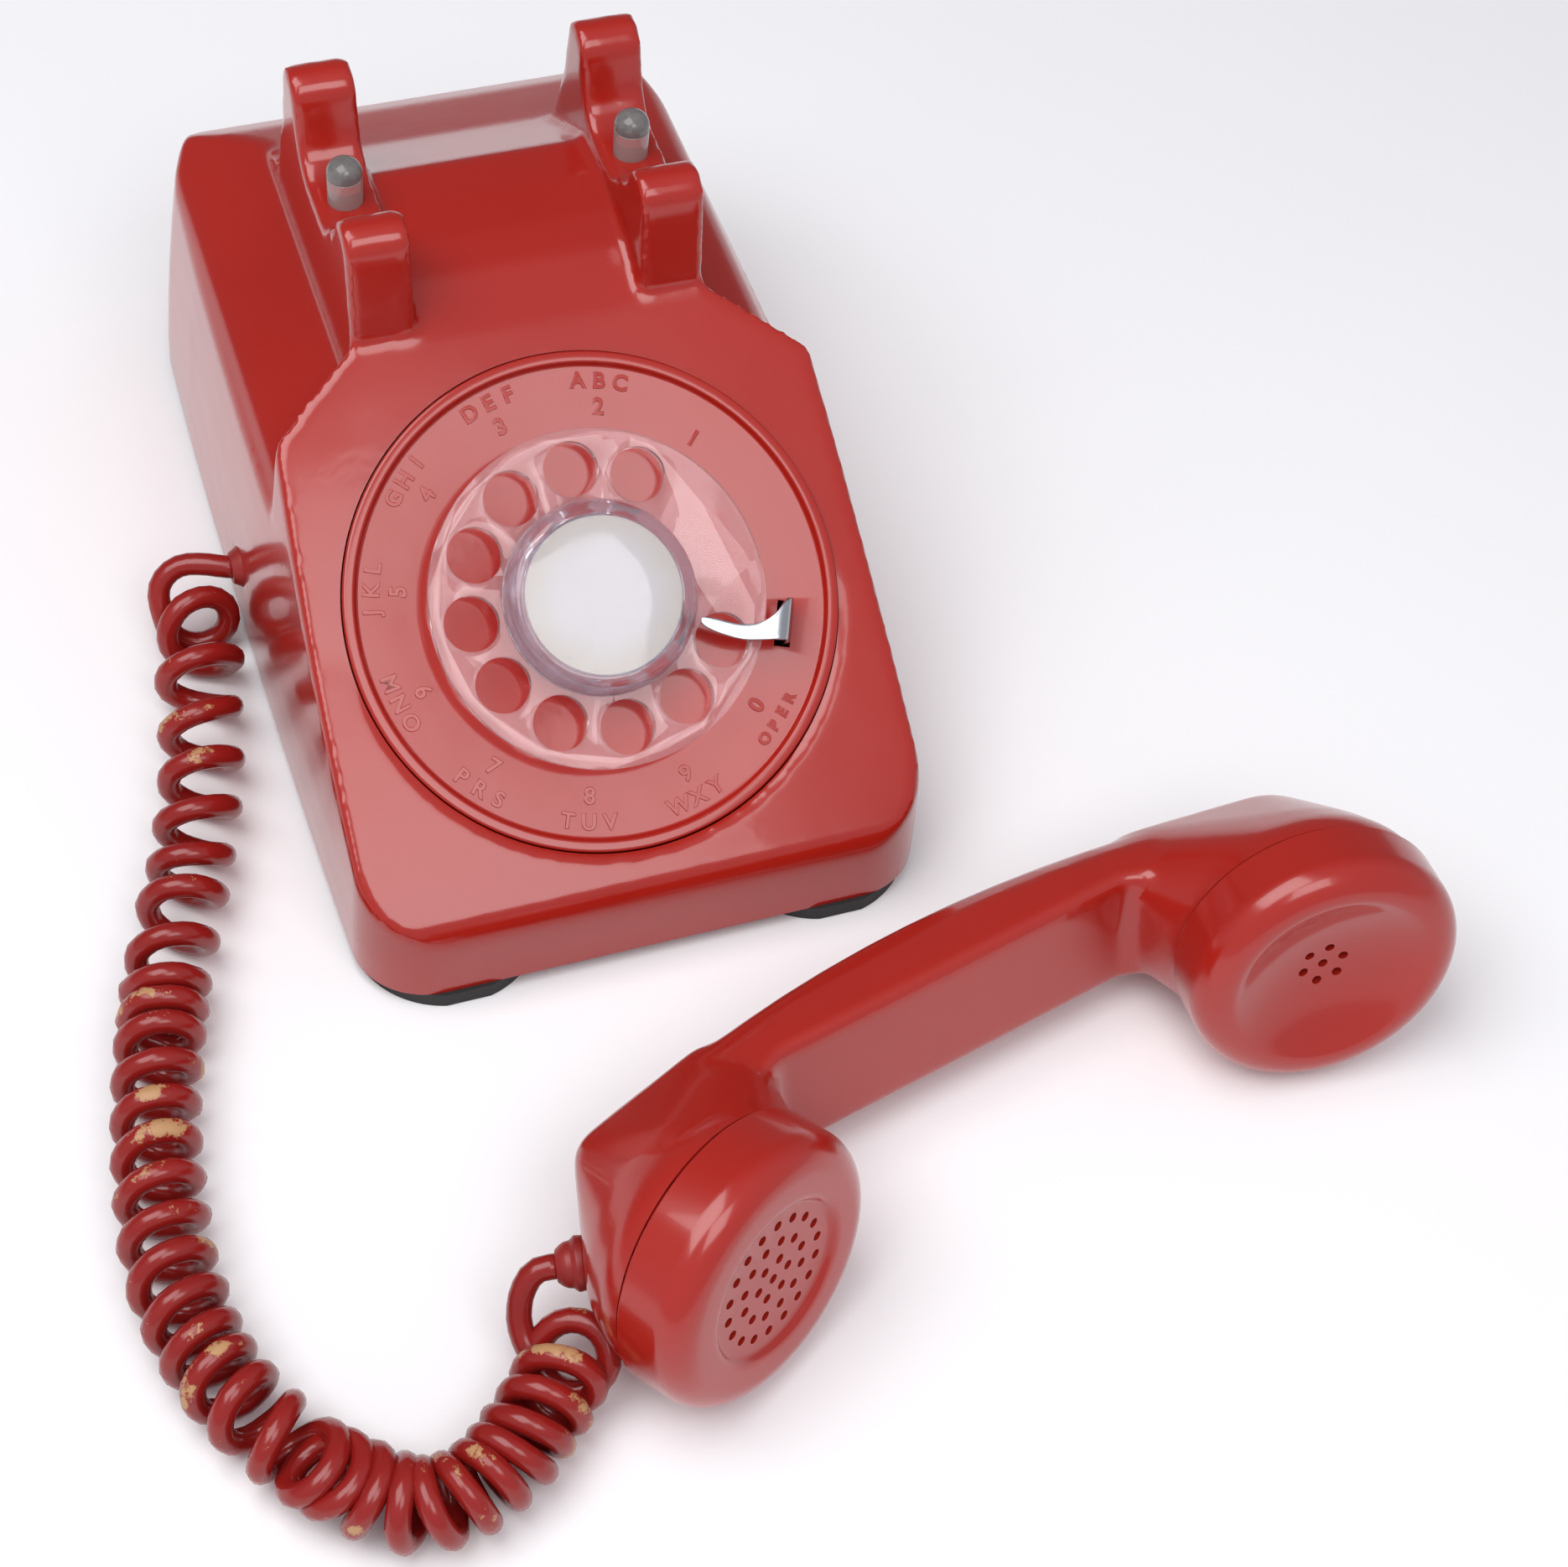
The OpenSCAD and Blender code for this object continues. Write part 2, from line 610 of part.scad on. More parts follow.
module pulse_wheel() {
  color(brass) in_dial() translate(pinion_pos + [0, 0, wheel_level]) rotate(-60)
    spur_gear(wheel_teeth, wheel_mod, wheel_face, small_shaft_r + press);
}

module governor_shaft() {
  color(steel) in_dial() translate(gov_pos) {
    translate([0, 0, rear_plate_z - 1.2]) cylinder(r = small_shaft_r, h = wheel_level - rear_plate_z + 2.8);
    translate([0, 0, wheel_level - 0.2]) rotate(120 + 180 / gov_teeth)
      spur_gear(gov_teeth, wheel_mod, wheel_face + 0.4, small_shaft_r - 0.3);
  }
}

module governor_weights() {
  color(brass) in_dial() translate(gov_pos + [0, 0, weight_level]) difference() {
    union() {
      cylinder(r = small_shaft_r + 1.2, h = 2.6);
      for (s = [0, 180]) rotate(s) {
        translate([0, -0.5, 0.6]) cube([4.6, 1, 1.2]);
        intersection() {
          cylinder(r = 6.2, h = 2.6);
          translate([3.8, -2.6, 0]) cube([4, 5.2, 2.6]);
        }
      }
    }
    translate([0, 0, -1]) cylinder(r = small_shaft_r + press, h = 5);
  }
}

module governor_cup() {
  color(steel) in_dial() translate(gov_pos + [0, 0, rear_plate_z + steel_t]) difference() {
    cylinder(r = 7.4, h = 4);
    translate([0, 0, 0.6]) cylinder(r = 6.6, h = 5);
    translate([0, 0, -1]) cylinder(r = small_shaft_r + 0.3, h = 3);
  }
}

// Pile of pulse springs beside the cam
module pulse_contacts() {
  color("#C9B37A") in_dial() translate([pinion_pos[0] - 4.9, pinion_pos[1] - 1, rear_plate_z + steel_t])
    for (k = [0 : 2]) translate([-1.1 * k, -14, 0.8]) cube([0.4, 15 - k, 1.4]);
  color("#8C5A2B") in_dial()
    translate([pinion_pos[0] - 8.2, pinion_pos[1] - 20, rear_plate_z + steel_t]) cube([5, 6, 5]);
}

// ---------- hook switch ----------

lever_z = 92;
pivot_y = cradle_y - hook_arm;
pivot_z = lever_z - 8;
upright_x = 16;
nib_r = 1.6;                     // plunger's nib, which rests over the lever

module plunger(side) {
  foot = lever_z + 1.6;
  color(smoke) translate([side * ped_mid, cradle_y, 0]) {
    translate([0, 0, foot]) cylinder(r = nib_r, h = 2);
    translate([0, 0, foot + 1]) cylinder(r = plunger_r, h = plunger_tip_z - 4 - foot);
    translate([0, 0, plunger_tip_z - 3]) intersection() {
      cylinder(r = plunger_r, h = 3);
      translate([0, 0, 3 - plunger_r * 1.25]) sphere(r = plunger_r * 1.25);
    }
  }
}

module hook_lever() {
  color(steel) {
    translate([-ped_mid - 3, cradle_y - 3, lever_z]) cube([2 * ped_mid + 6, 6, 1.3]);
    mirror_x() difference() {
      union() {
        translate([upright_x + 2.4, pivot_y, pivot_z]) rotate([0, 90, 0]) cylinder(r = 4, h = 1.5);
        translate([upright_x + 2.4, 0, 0]) rotate([90, 0, 90]) linear_extrude(1.5) polygon([
          [pivot_y - 2, pivot_z + 3], [cradle_y - 3, lever_z + 0.1], [cradle_y + 3, lever_z + 0.1],
          [cradle_y + 3, lever_z - 3], [pivot_y + 2, pivot_z - 3]]);
      }
      translate([upright_x, pivot_y, pivot_z]) rotate([0, 90, 0]) cylinder(r = 1.5 + run, h = 6);
    }
  }
}

module hook_pin() {
  color(steel) translate([-upright_x - 5.5, pivot_y, pivot_z]) rotate([0, 90, 0])
    cylinder(r = 1.5, h = 2 * upright_x + 11);
}

module hook_bracket() {
  color(steel) {
    mirror_x() difference() {
      translate([upright_x, pivot_y - 5, floor_z]) cube([1.6, 10, pivot_z + 5 - floor_z]);
      translate([upright_x - 2, pivot_y, pivot_z]) rotate([0, 90, 0])
        cylinder(r = 1.5 + press, h = 6);
    }
    translate([-upright_x, pivot_y - 5, floor_z]) cube([2 * upright_x, 10, 1.6]);
    translate([-upright_x, pivot_y - 5, pivot_z - 22]) cube([2 * upright_x, 1.6, 14]);
  }
}

module hook_spring() {
  color("#8A8F94") translate([0, cradle_y - 6, lever_z - 17.4]) coil_spring(3, 0.5, 10, 7);
}

module hook_contacts() {
  color("#8C5A2B") translate([-9, pivot_y - 3.4, pivot_z - 20]) cube([18, 5, 8]);
  color("#C9B37A") for (k = [0 : 3])
    translate([-6, pivot_y + 1.6, pivot_z - 19 + 1.8 * k]) cube([12, 16 - k, 0.4]);
}

// ---------- ringer ----------

ring_y = rear_y - 36.5;          // line through the two gongs
gong_x = 32;
gong_h = 11;
gong_base_z = 22;
armature_y = ring_y - 36;
coil_y = armature_y - 19;
coil_z = 20;
coil_l = 42;

module gong(d) {
  r = d / 2;
  rotate_extrude($fn = 72) polygon(concat(
    [[2.2, gong_h - 1.4], [r * 0.55, gong_h - 1.4]],
    arc(r - 8, gong_h - 8.4, 7, 90, 0, 6), [[r - 1, 0], [r, 0]],
    arc(r - 8, gong_h - 8, 8, 0, 90, 6), [[r * 0.55, gong_h], [2.2, gong_h]]));
}

module gong_low() {
  color(brass) translate([-gong_x, ring_y, gong_base_z]) gong(gong_a_d);
}

module gong_high() {
  color(brass) translate([gong_x, ring_y, gong_base_z]) gong(gong_b_d);
}

module gong_screws() {
  color(steel) for (s = [-1, 1]) translate([s * gong_x, ring_y, 0]) {
    translate([0, 0, gong_base_z + gong_h]) cylinder(r = 3.6, h = 2);
    translate([0, 0, gong_base_z - 4]) cylinder(r = 2, h = gong_h + 4.2);
  }
}

module ringer_frame() {
  color(steel) difference() {
    union() {
      translate([-gong_x - 8, ring_y - 8, floor_z]) cube([2 * gong_x + 16, 16, 1.6]);
      translate([-10, coil_y - 14, floor_z]) cube([20, ring_y - coil_y + 10, 1.6]);
      for (s = [-1, 1]) translate([s * gong_x, ring_y, floor_z])
        cylinder(r = 4.5, h = gong_base_z + gong_h - 1.4 - floor_z);
      translate([0, armature_y, floor_z]) cylinder(r = 4, h = 6);
      translate([volume_x - 4, ring_y - 14, floor_z]) cube([8, 8, 1.6]);
      translate([volume_x - 4, ring_y - 14, floor_z]) cube([8, 1.6, strap_z + 1.2]);
      translate([volume_x - 4, volume_y - 6, floor_z + strap_z])
        cube([8, ring_y - 12.4 - volume_y + 6, 1.2]);
    }
    translate([volume_x, volume_y, floor_z + strap_z - 1]) cylinder(r = 1.5 + run, h = 4);
    for (s = [-1, 1]) translate([s * gong_x, ring_y, gong_base_z - 4.5])
      cylinder(r = 2 + press, h = 20);
    translate([0, armature_y, floor_z - 1]) cylinder(r = 1.5 + run, h = 12);
    translate([volume_x, volume_y, floor_z - 1]) cylinder(r = volume_r + 1, h = 5);
  }
}

module ringer_coil() {
  color("#6B3A1E") translate([-coil_l / 2, coil_y, coil_z]) rotate([0, 90, 0]) difference() {
    union() {
      cylinder(r = coil_d / 2, h = coil_l);
      cylinder(r = coil_d / 2 + 2, h = 1.5);
      translate([0, 0, coil_l - 1.5]) cylinder(r = coil_d / 2 + 2, h = 1.5);
    }
    translate([0, 0, -1]) cylinder(r = 4 + press, h = coil_l + 2);
  }
}

// Laminated core with its two pole faces beside the armature
module ringer_core() {
  color("#7D8083") {
    translate([-coil_l / 2 - 3, coil_y, coil_z]) rotate([0, 90, 0]) cylinder(r = 4, h = coil_l + 6);
    mirror_x() translate([coil_l / 2 + 0.5, coil_y - 5, coil_z - 5]) cube([2.6, 22, 10]);
    mirror_x() translate([6, armature_y - 5.8, coil_z - 5]) cube([coil_l / 2 - 3, 3, 10]);
    translate([-7, coil_y - 3, floor_z + 1.6]) cube([14, 6, coil_z - coil_d / 2 - floor_z - 1.7]);
  }
}

module clapper() {
  color("#9A9DA0") {
    translate([0, armature_y, floor_z + 2]) cylinder(r = 1.5, h = coil_z + 8 - floor_z - 2);
    translate([-18, armature_y - 1.1, coil_z - 5]) cube([36, 2.2, 10]);
    translate([0, armature_y, coil_z + 7]) rotate([-90, 0, 0]) cylinder(r = 1, h = ring_y - armature_y);
    translate([0, ring_y, coil_z + 7]) sphere(r = 3.2);
  }
}

// Loudness wheel, reached through a round hole in the base plate
module volume_wheel() {
  color("#2B2A2A") translate([volume_x, volume_y, 0]) difference() {
    union() {
      translate([0, 0, 1.5]) cylinder(r = volume_r, h = floor_z + 1);
      translate([0, 0, floor_z + 2.4]) cylinder(r = 3, h = 4);
      translate([0, 0, floor_z + 6]) cylinder(r = 1.5, h = strap_z - 3.6);
    }
    for (a = [0 : 30 : 330]) rotate(a) translate([volume_r + 0.6, 0, 0]) cylinder(r = 1.4, h = 20);
  }
}

// ---------- network ----------

net_y = dial_y + 14;
net_w = 46;
net_d = 32;
net_h = 22;

module network_block() {
  color("#3A3533") translate([-net_w / 2 - 10, net_y, floor_z]) difference() {
    union() {
      cube([net_w, net_d, net_h]);
      translate([3, 3, net_h]) cube([net_w - 6, net_d - 6, 2]);
    }
    for (i = [0 : 4]) for (j = [0, 1])
      translate([7 + i * (net_w - 14) / 4, 8 + j * (net_d - 16), net_h - 5]) cylinder(r = 1.2 + press, h = 9);
  }
}

module network_screws() {
  color(brass) translate([-net_w / 2 - 10, net_y, floor_z])
    for (i = [0 : 4]) for (j = [0, 1])
      translate([7 + i * (net_w - 14) / 4, 8 + j * (net_d - 16), 0]) {
        translate([0, 0, net_h - 4]) cylinder(r = 1.2, h = 6.5);
        translate([0, 0, net_h + 2]) cylinder(r = 2.4, h = 1.4);
      }
}

// ---------- handset ----------

handset_turn = 14.4;
handset_lean = 12.5;
handset_pos = [61.2, -196.6, 33.3];
face_gap = 39.5;                 // handle's inner face below the line of the cap faces
mouth_r = mouth_cap_d / 2;
ear_r = ear_cap_d / 2;
back_r = 265;                    // curve of the handle's back

module in_handset() {
  translate(handset_pos) rotate([0, 0, handset_turn]) rotate([90 - handset_lean, 0, 0]) children();
}

// Frame of one cap: its face centre, facing out along +Z
module in_cap(side) {
  translate([side * cap_pitch / 2, 0, 0]) rotate([0, -side * cap_tilt, 0]) children();
}

function back_z(u) = -face_gap - handle_t + u * u / 2 / back_r;

// Section of the handle at u: flat inside, rounded back
function handle_ring(u) =
  let (top = -face_gap + max(0, abs(u) - 46) * 0.5, low = back_z(u), h = top - low, w = handle_w / 2)
  [for (p = concat([[-w + 2.5, top], [w - 2.5, top]], arc(w - 2.5, top - 2.5, 2.5, 70, 0, 3),
    [[w, low + 9]], [for (a = [0 : -15 : -180]) [(w - 1) * cos(a), low + 8 + 8 * sin(a)]],
    [[-w, low + 9]], arc(-w + 2.5, top - 2.5, 2.5, 180, 110, 3)))
    [u, p[0], p[1]]];

// Cup behind one cap, drawn in by inset
module cup(side, r, inset) {
  hull() {
    in_cap(side) translate([0, 0, -cap_h - 4]) cylinder(r = r - 1.4 - inset, h = 4, $fn = 48);
    in_cap(side) translate([0, 0, -cap_h - 12]) cylinder(r = r - 5.5 - inset, h = 6, $fn = 32);
    translate([side * (cap_pitch / 2 + 12), 0, back_z(cap_pitch / 2) + 15]) rotate([90, 0, 0])
      cylinder(r = 11 - inset, h = 24 - 2 * inset, center = true, $fn = 32);
    translate([side * (cap_pitch / 2 - 16), 0, back_z(cap_pitch / 2 - 16) + 10]) rotate([90, 0, 0])
      cylinder(r = 9.6 - inset, h = 22 - 2 * inset, center = true, $fn = 32);
  }
}

cup_bore_r = 23;
module handset_handle() {
  color(red) in_handset() difference() {
    union() {
      loft([for (k = [-7 : 7]) handle_ring(-(cap_pitch / 2 + 6) * k / 7)]);
      cup(-1, mouth_r, 0);
      cup(1, ear_r, 0);
      for (side = [-1, 1]) in_cap(side) translate([0, 0, -cap_h - 2]) cylinder(r = 26, h = 8);
    }
    for (side = [-1, 1]) in_cap(side) {
      translate([0, 0, -cap_h - 9]) cylinder(r = cup_bore_r, h = 30);
    }
    translate([-cap_pitch / 2, 0, -face_gap - 9.6]) rotate([0, 90, 0]) cylinder(r = 4.5, h = cap_pitch);
    in_grommet() translate([0, 0, -8]) cylinder(r = 3.6 + press, h = 20);
  }
}

// Cap with a skirt over the cup's collar
module cap_shell(r, dish_r, dish_h) {
  difference() {
    rotate_extrude($fn = 96) polygon(concat(
      [[0, -3], [r - 4, -3], [26 + slip, -6], [26 + slip, -cap_h + press],
       [r - 0.8, -cap_h + press], [r, -cap_h + 3]],
      arc(r - 7, -7, 7, 0, 75, 7), [[dish_r + 1, 0], [dish_r - 1, -dish_h], [0, -dish_h]]));
    children();
  }
}

module transmitter_cap() {
  color(red) in_handset() in_cap(-1) cap_shell(mouth_r, 18.6, 1) {
    for (i = [0 : 17]) rotate(20 * i) translate([14, 0, -5]) cylinder(r = 0.95, h = 8, $fn = 16);
    for (i = [0 : 11]) rotate(30 * i + 10) translate([9.2, 0, -5]) cylinder(r = 0.95, h = 8, $fn = 16);
    for (i = [0 : 5]) rotate(60 * i) translate([4.6, 0, -5]) cylinder(r = 0.95, h = 8, $fn = 16);
    translate([0, 0, -5]) cylinder(r = 0.95, h = 8, $fn = 16);
  }
}

// Receiver cap with a dished centre that takes the ear
ear_dish_r = 20;
ear_dish_h = 5;
module receiver_cap() {
  dish_ball = (ear_dish_r * ear_dish_r + ear_dish_h * ear_dish_h) / 2 / ear_dish_h;
  color(red) in_handset() in_cap(1) difference() {
    rotate_extrude($fn = 96) polygon(concat(
      [[0, -ear_dish_h - 2.4], [ear_dish_r - 3, -ear_dish_h], [26 + slip, -6],
       [26 + slip, -cap_h + press], [ear_r - 0.8, -cap_h + press], [ear_r, -cap_h + 3]],
      arc(ear_r - 7, -7, 7, 0, 75, 7), [[0, 0]]));
    translate([0, 0, dish_ball - ear_dish_h]) sphere(r = dish_ball, $fn = 96);
    translate([0, 0, -10]) cylinder(r = 0.95, h = 9, $fn = 16);
    for (i = [0 : 5]) rotate(60 * i + 15) translate([4.75, 0, -10]) cylinder(r = 0.95, h = 9, $fn = 16);
  }
}

module transmitter_capsule() {
  color("#B7B2A6") in_handset() in_cap(-1) {
    translate([0, 0, -15]) cylinder(r = 21.6, h = 9);
    translate([0, 0, -6]) cylinder(r = 19, h = 2.6);
  }
}

module contact_cup() {
  color("#2B2A2A") in_handset() in_cap(-1) translate([0, 0, -25.5]) difference() {
    cylinder(r = 22.6, h = 10.4);
    translate([0, 0, 2]) cylinder(r = 20, h = 9);
    translate([0, 0, -1]) cylinder(r = 3, h = 9);
  }
}

module receiver_capsule() {
  color("#B7B2A6") in_handset() in_cap(1) {
    translate([0, 0, -25]) cylinder(r = 17, h = 9);
    translate([0, 0, -16]) cylinder(r = 22, h = 7);
  }
}

module handset_wires() {
  color("#C8C2B4") in_handset() for (s = [-1, 1])
    translate([-cap_pitch / 2 + 20, s * 1.6, -face_gap - 9.6]) rotate([0, 90, 0])
      cylinder(r = 1.1, h = cap_pitch - 42);
}

// Cord entry on the outer side of the transmitter cup
module in_grommet() {
  translate([-cap_pitch / 2 - 27.5, -3, -29]) rotate([0, -116, 0]) children();
}

module handset_grommet() {
  color(dark_red) in_handset() in_grommet() {
    translate([0, 0, -6]) cylinder(r = 3.6, h = 7);
    translate([0, 0, 0.9]) cylinder(r = 5.4, h = 2.4);
    translate([0, 0, 3.2]) cylinder(r = 4.2, h = 3.3);
  }
}

// ---------- handset cord ----------

// Centre line of the curled stretch, on the desk from beside the case to the handset
curl_route = [[-81, 0, 10.5], [-83, -15, 10.5], [-86, -32, 10.5], [-90, -48, 10.5],
  [-95, -63, 10.5], [-101, -78, 10.5], [-107, -93, 10.5], [-112, -109, 10.5],
  [-116, -123, 10.5], [-119, -138, 10.5], [-121, -152, 10.5], [-122, -165, 10.5],
  [-121, -178, 10.5], [-118, -191, 10.5], [-113, -203, 10.5], [-106, -214, 10.5],
  [-97, -224, 10.5], [-87, -230, 10.5], [-77, -230, 10.5], [-67, -225, 10.5],
  [-59, -218, 10.5]];
exit_route = [[-69, 10, 20], [-76, 10.5, 20], [-82, 12.5, 18], [-84.5, 12.5, 14.5],
  [-82.5, 9, 11.5], [-80.4, 4.5, 10.5], [-81, 0.1, 10.5]];
end_route = [[-59, -218, 10.5], [-55.6, -215, 10.5], [-53.8, -211, 11.5], [-54, -205.5, 14],
  [-56.5, -199.5, 17.5], [-56.8, -194.2, 21], [-52.6, -192.6, 23], [-48.7, -193.3, 23.4]];

module cord_exit() {
  color(red) tube(smooth_route(exit_route, 2), cord_d / 2, 8);
}

module cord_curl() {
  color(red) tube(curl_route, curl_d / 2, 12);
}

module cord_end() {
  color(red) tube(smooth_route(end_route, 2), cord_d / 2, 8);
}

housing();
base_plate();
foot(-1, -1);  // foot_front_left
foot(1, -1);  // foot_front_right
foot(-1, 1);  // foot_rear_left
foot(1, 1);  // foot_rear_right
case_screws();
line_cord_inlet();
handset_cord_grommet();
dial_bracket();
dial_front_plate();
dial_rear_plate();
dial_pillars();
number_plate();
finger_stop();
fingerwheel();
wheel_clamp();
dial_screw();
card_retainer();
number_card();
dial_shaft();
main_gear();
mainspring();
pulse_shaft();
pulse_wheel();
governor_shaft();
governor_weights();
governor_cup();
pulse_contacts();
plunger(-1);  // plunger_left
plunger(1);  // plunger_right
hook_lever();
hook_bracket();
hook_pin();
hook_spring();
hook_contacts();
ringer_frame();
ringer_coil();
ringer_core();
clapper();
gong_low();
gong_high();
gong_screws();
volume_wheel();
network_block();
network_screws();
handset_handle();
transmitter_cap();
receiver_cap();
transmitter_capsule();
receiver_capsule();
contact_cup();
handset_wires();
handset_grommet();
cord_exit();
cord_curl();
cord_end();
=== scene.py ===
import json
import math

import bpy
from mathutils import Matrix, Vector


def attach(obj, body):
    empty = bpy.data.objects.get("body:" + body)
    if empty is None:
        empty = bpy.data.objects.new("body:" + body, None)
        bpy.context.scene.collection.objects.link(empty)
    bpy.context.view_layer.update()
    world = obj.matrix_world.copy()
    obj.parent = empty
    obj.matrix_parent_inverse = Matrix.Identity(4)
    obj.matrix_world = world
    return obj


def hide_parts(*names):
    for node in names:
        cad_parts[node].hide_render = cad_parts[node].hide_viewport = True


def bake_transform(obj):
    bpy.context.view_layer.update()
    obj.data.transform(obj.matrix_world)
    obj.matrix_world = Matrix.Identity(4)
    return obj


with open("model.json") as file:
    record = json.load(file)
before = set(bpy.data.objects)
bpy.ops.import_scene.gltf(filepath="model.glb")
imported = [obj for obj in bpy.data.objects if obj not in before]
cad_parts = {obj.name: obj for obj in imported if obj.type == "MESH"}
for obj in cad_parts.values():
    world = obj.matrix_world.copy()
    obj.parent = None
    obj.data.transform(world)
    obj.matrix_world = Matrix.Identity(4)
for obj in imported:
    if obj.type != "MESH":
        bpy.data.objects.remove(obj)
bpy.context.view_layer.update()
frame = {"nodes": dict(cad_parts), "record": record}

MM = 0.001
nodes = frame["nodes"]
joints = {j["name"]: j for j in frame["record"]["behaviour"]["joints"]}

# ---------------------------------------------------------------- the room
# A pale matt table top in a white tent that is open at the back, with a broad softbox
# above and a small one in front. The camera looks down from the set's front left.


def only(*objects):
    bpy.ops.object.select_all(action="DESELECT")
    for o in objects:
        o.select_set(True)
    bpy.context.view_layer.objects.active = objects[0]


def srgb(text):
    """A hex colour as linear values."""
    parts = [int(text[i:i + 2], 16) / 255 for i in (1, 3, 5)]
    return tuple(p / 12.92 if p < 0.04045 else ((p + 0.055) / 1.055) ** 2.4 for p in parts) + (1.0,)


def add_node(tree, kind, settings=(), **sockets):
    """One node, its settings, and its inputs as values or as another node's output."""
    n = tree.nodes.new(kind)
    for key, value in dict(settings).items():
        setattr(n, key, value)
    for key, value in sockets.items():
        socket = n.inputs[int(key[2:])] if key.startswith("in") and key[2:].isdigit() \
            else n.inputs[key.replace("_", " ")]
        if isinstance(value, bpy.types.NodeSocket):
            tree.links.new(value, socket)
        else:
            socket.default_value = value
    return n


def new_material(name, **shader):
    """A material with its Principled shader's own values set."""
    m = bpy.data.materials.new(name)
    m.use_nodes = True
    p = m.node_tree.nodes["Principled BSDF"]
    for key, value in shader.items():
        p.inputs[key.replace("_", " ")].default_value = value
    return m, m.node_tree, p


camera_azimuth = math.radians(-24.36)
camera_height = math.radians(52.0)
camera_roll = math.radians(7.14)
camera_aim = Vector((43.64, -71.56, 0)) * MM
camera_distance = 778.25 * MM
back = Vector((math.sin(camera_azimuth) * math.cos(camera_height),
               -math.cos(camera_azimuth) * math.cos(camera_height), math.sin(camera_height)))
level = (-back).cross(Vector((0, 0, 1))).normalized()
upward = level.cross(-back)
side = math.cos(camera_roll) * level + math.sin(camera_roll) * upward
top = -math.sin(camera_roll) * level + math.cos(camera_roll) * upward
camera_data = bpy.data.cameras.new("camera")
camera_data.lens = 75.64
camera_data.sensor_width = 36
camera = bpy.data.objects.new("camera", camera_data)
bpy.context.collection.objects.link(camera)
camera.matrix_world = Matrix.Translation(camera_aim + camera_distance * back) @ Matrix(
    [(side[i], top[i], back[i]) for i in range(3)]).to_4x4()
bpy.context.scene.camera = camera
bpy.context.scene.view_settings.view_transform = "Standard"

world = bpy.data.worlds.new("white tent")
bpy.context.scene.world = world
world.use_nodes = True
tent = world.node_tree.nodes["Background"]
tent.inputs["Color"].default_value = srgb("#F4F4FA")
# the tent is open at the back, where the room is darker
across_room = add_node(world.node_tree, "ShaderNodeSeparateXYZ",
                       in0=add_node(world.node_tree, "ShaderNodeTexCoord").outputs["Generated"])
lit = add_node(world.node_tree, "ShaderNodeMapRange", Value=across_room.outputs["Y"],
               From_Min=-0.1, From_Max=0.6, To_Min=0.58, To_Max=0.2)
world.node_tree.links.new(lit.outputs[0], tent.inputs["Strength"])


def softbox(name, place, aim, size, power):
    lamp = bpy.data.lights.new(name, "AREA")
    lamp.shape = "RECTANGLE"
    lamp.size, lamp.size_y = size
    lamp.energy = power
    o = bpy.data.objects.new(name, lamp)
    bpy.context.collection.objects.link(o)
    o.location = place
    o.rotation_euler = (Vector(aim) - Vector(place)).to_track_quat("-Z", "Y").to_euler()


softbox("softbox above", (-0.45, -0.15, 1.15), (0, -0.05, 0.03), (0.9, 0.9), 10.0)
softbox("softbox front", (0.045, -0.64, 0.80), (0.0, -0.055, 0.06), (0.42, 0.42), 2.0)

bpy.ops.object.select_all(action="DESELECT")
bpy.ops.mesh.primitive_plane_add(size=6, location=(0, 0, -0.0002))
floor = bpy.context.object
floor.name = "table_top"
table_paint, tree, shader = new_material("matt white table top", Roughness=0.9)
speckle = add_node(tree, "ShaderNodeTexNoise", Scale=30.0, Detail=2.0)
shade = add_node(tree, "ShaderNodeMix", {"data_type": "RGBA"}, in0=speckle.outputs["Fac"],
                 in6=srgb("#FBFBFC"), in7=srgb("#F7F7F9"))
tree.links.new(shade.outputs[2], shader.inputs["Base Color"])
floor.data.materials.append(table_paint)

# ---------------------------------------------------------------- handset cord
# A four-wire cord in a moulded jacket, wound into a tight coil when it was made and
# now slack. It was painted red with the set, and the paint has rubbed off the outside
# of the turns down to the tan jacket.

cord_d = 5.4
coil_r = 7.5
# no two turns are quite alike: they lean by a few degrees and swell by a share of their radius
lean, lean_rate = 5, 1.9
swell, swell_rate = 0.02, 0.83

# The coil's middle along the desk, in mm, the turns counted up to each point, and the
# angle, in degrees, by which the turns there are tipped
coil_line = [
    (-78.8, 7.5, 10.5, 0.25, 22), (-78.8, 3.5, 10.5, 0.9, 16), (-80.0, -5.0, 10.5, 1.6, -4),
    (-83, -15, 10.5, 2.3, -18), (-86, -32, 10.5, 3.4, -20), (-90, -48, 10.5, 4.6, -20),
    (-95, -63, 10.5, 5.8, -16), (-101, -78, 10.5, 7.3, -10), (-107, -93, 10.5, 8.5, -6),
    (-112, -109, 10.5, 10.9, -3), (-116, -123, 10.5, 12.5, 0), (-119, -138, 10.5, 14.1, 0),
    (-121, -152, 10.5, 15.6, 0), (-122, -165, 10.5, 16.9, 0), (-121, -178, 10.5, 18.3, 0),
    (-118, -191, 10.5, 20.0, 0), (-113, -203, 10.5, 21.5, -4), (-108, -211, 11.0, 22.4, -18),
    (-104, -217, 12, 23.2, -52), (-101.5, -219.5, 12, 24.1, -62), (-95.5, -224.5, 10.5, 25.2, -25),
    (-87, -230, 10.5, 26.6, 4), (-77, -230, 10.5, 28.2, 6), (-67, -225, 10.5, 30.0, 8),
    (-59, -218, 10.5, 31.7, 6), (-53.5, -212.5, 10.5, 32.9, -8), (-49.4, -208.6, 12.0, 33.7, -50),
    (-48.6, -207.6, 11.5, 34.6, -58),
]
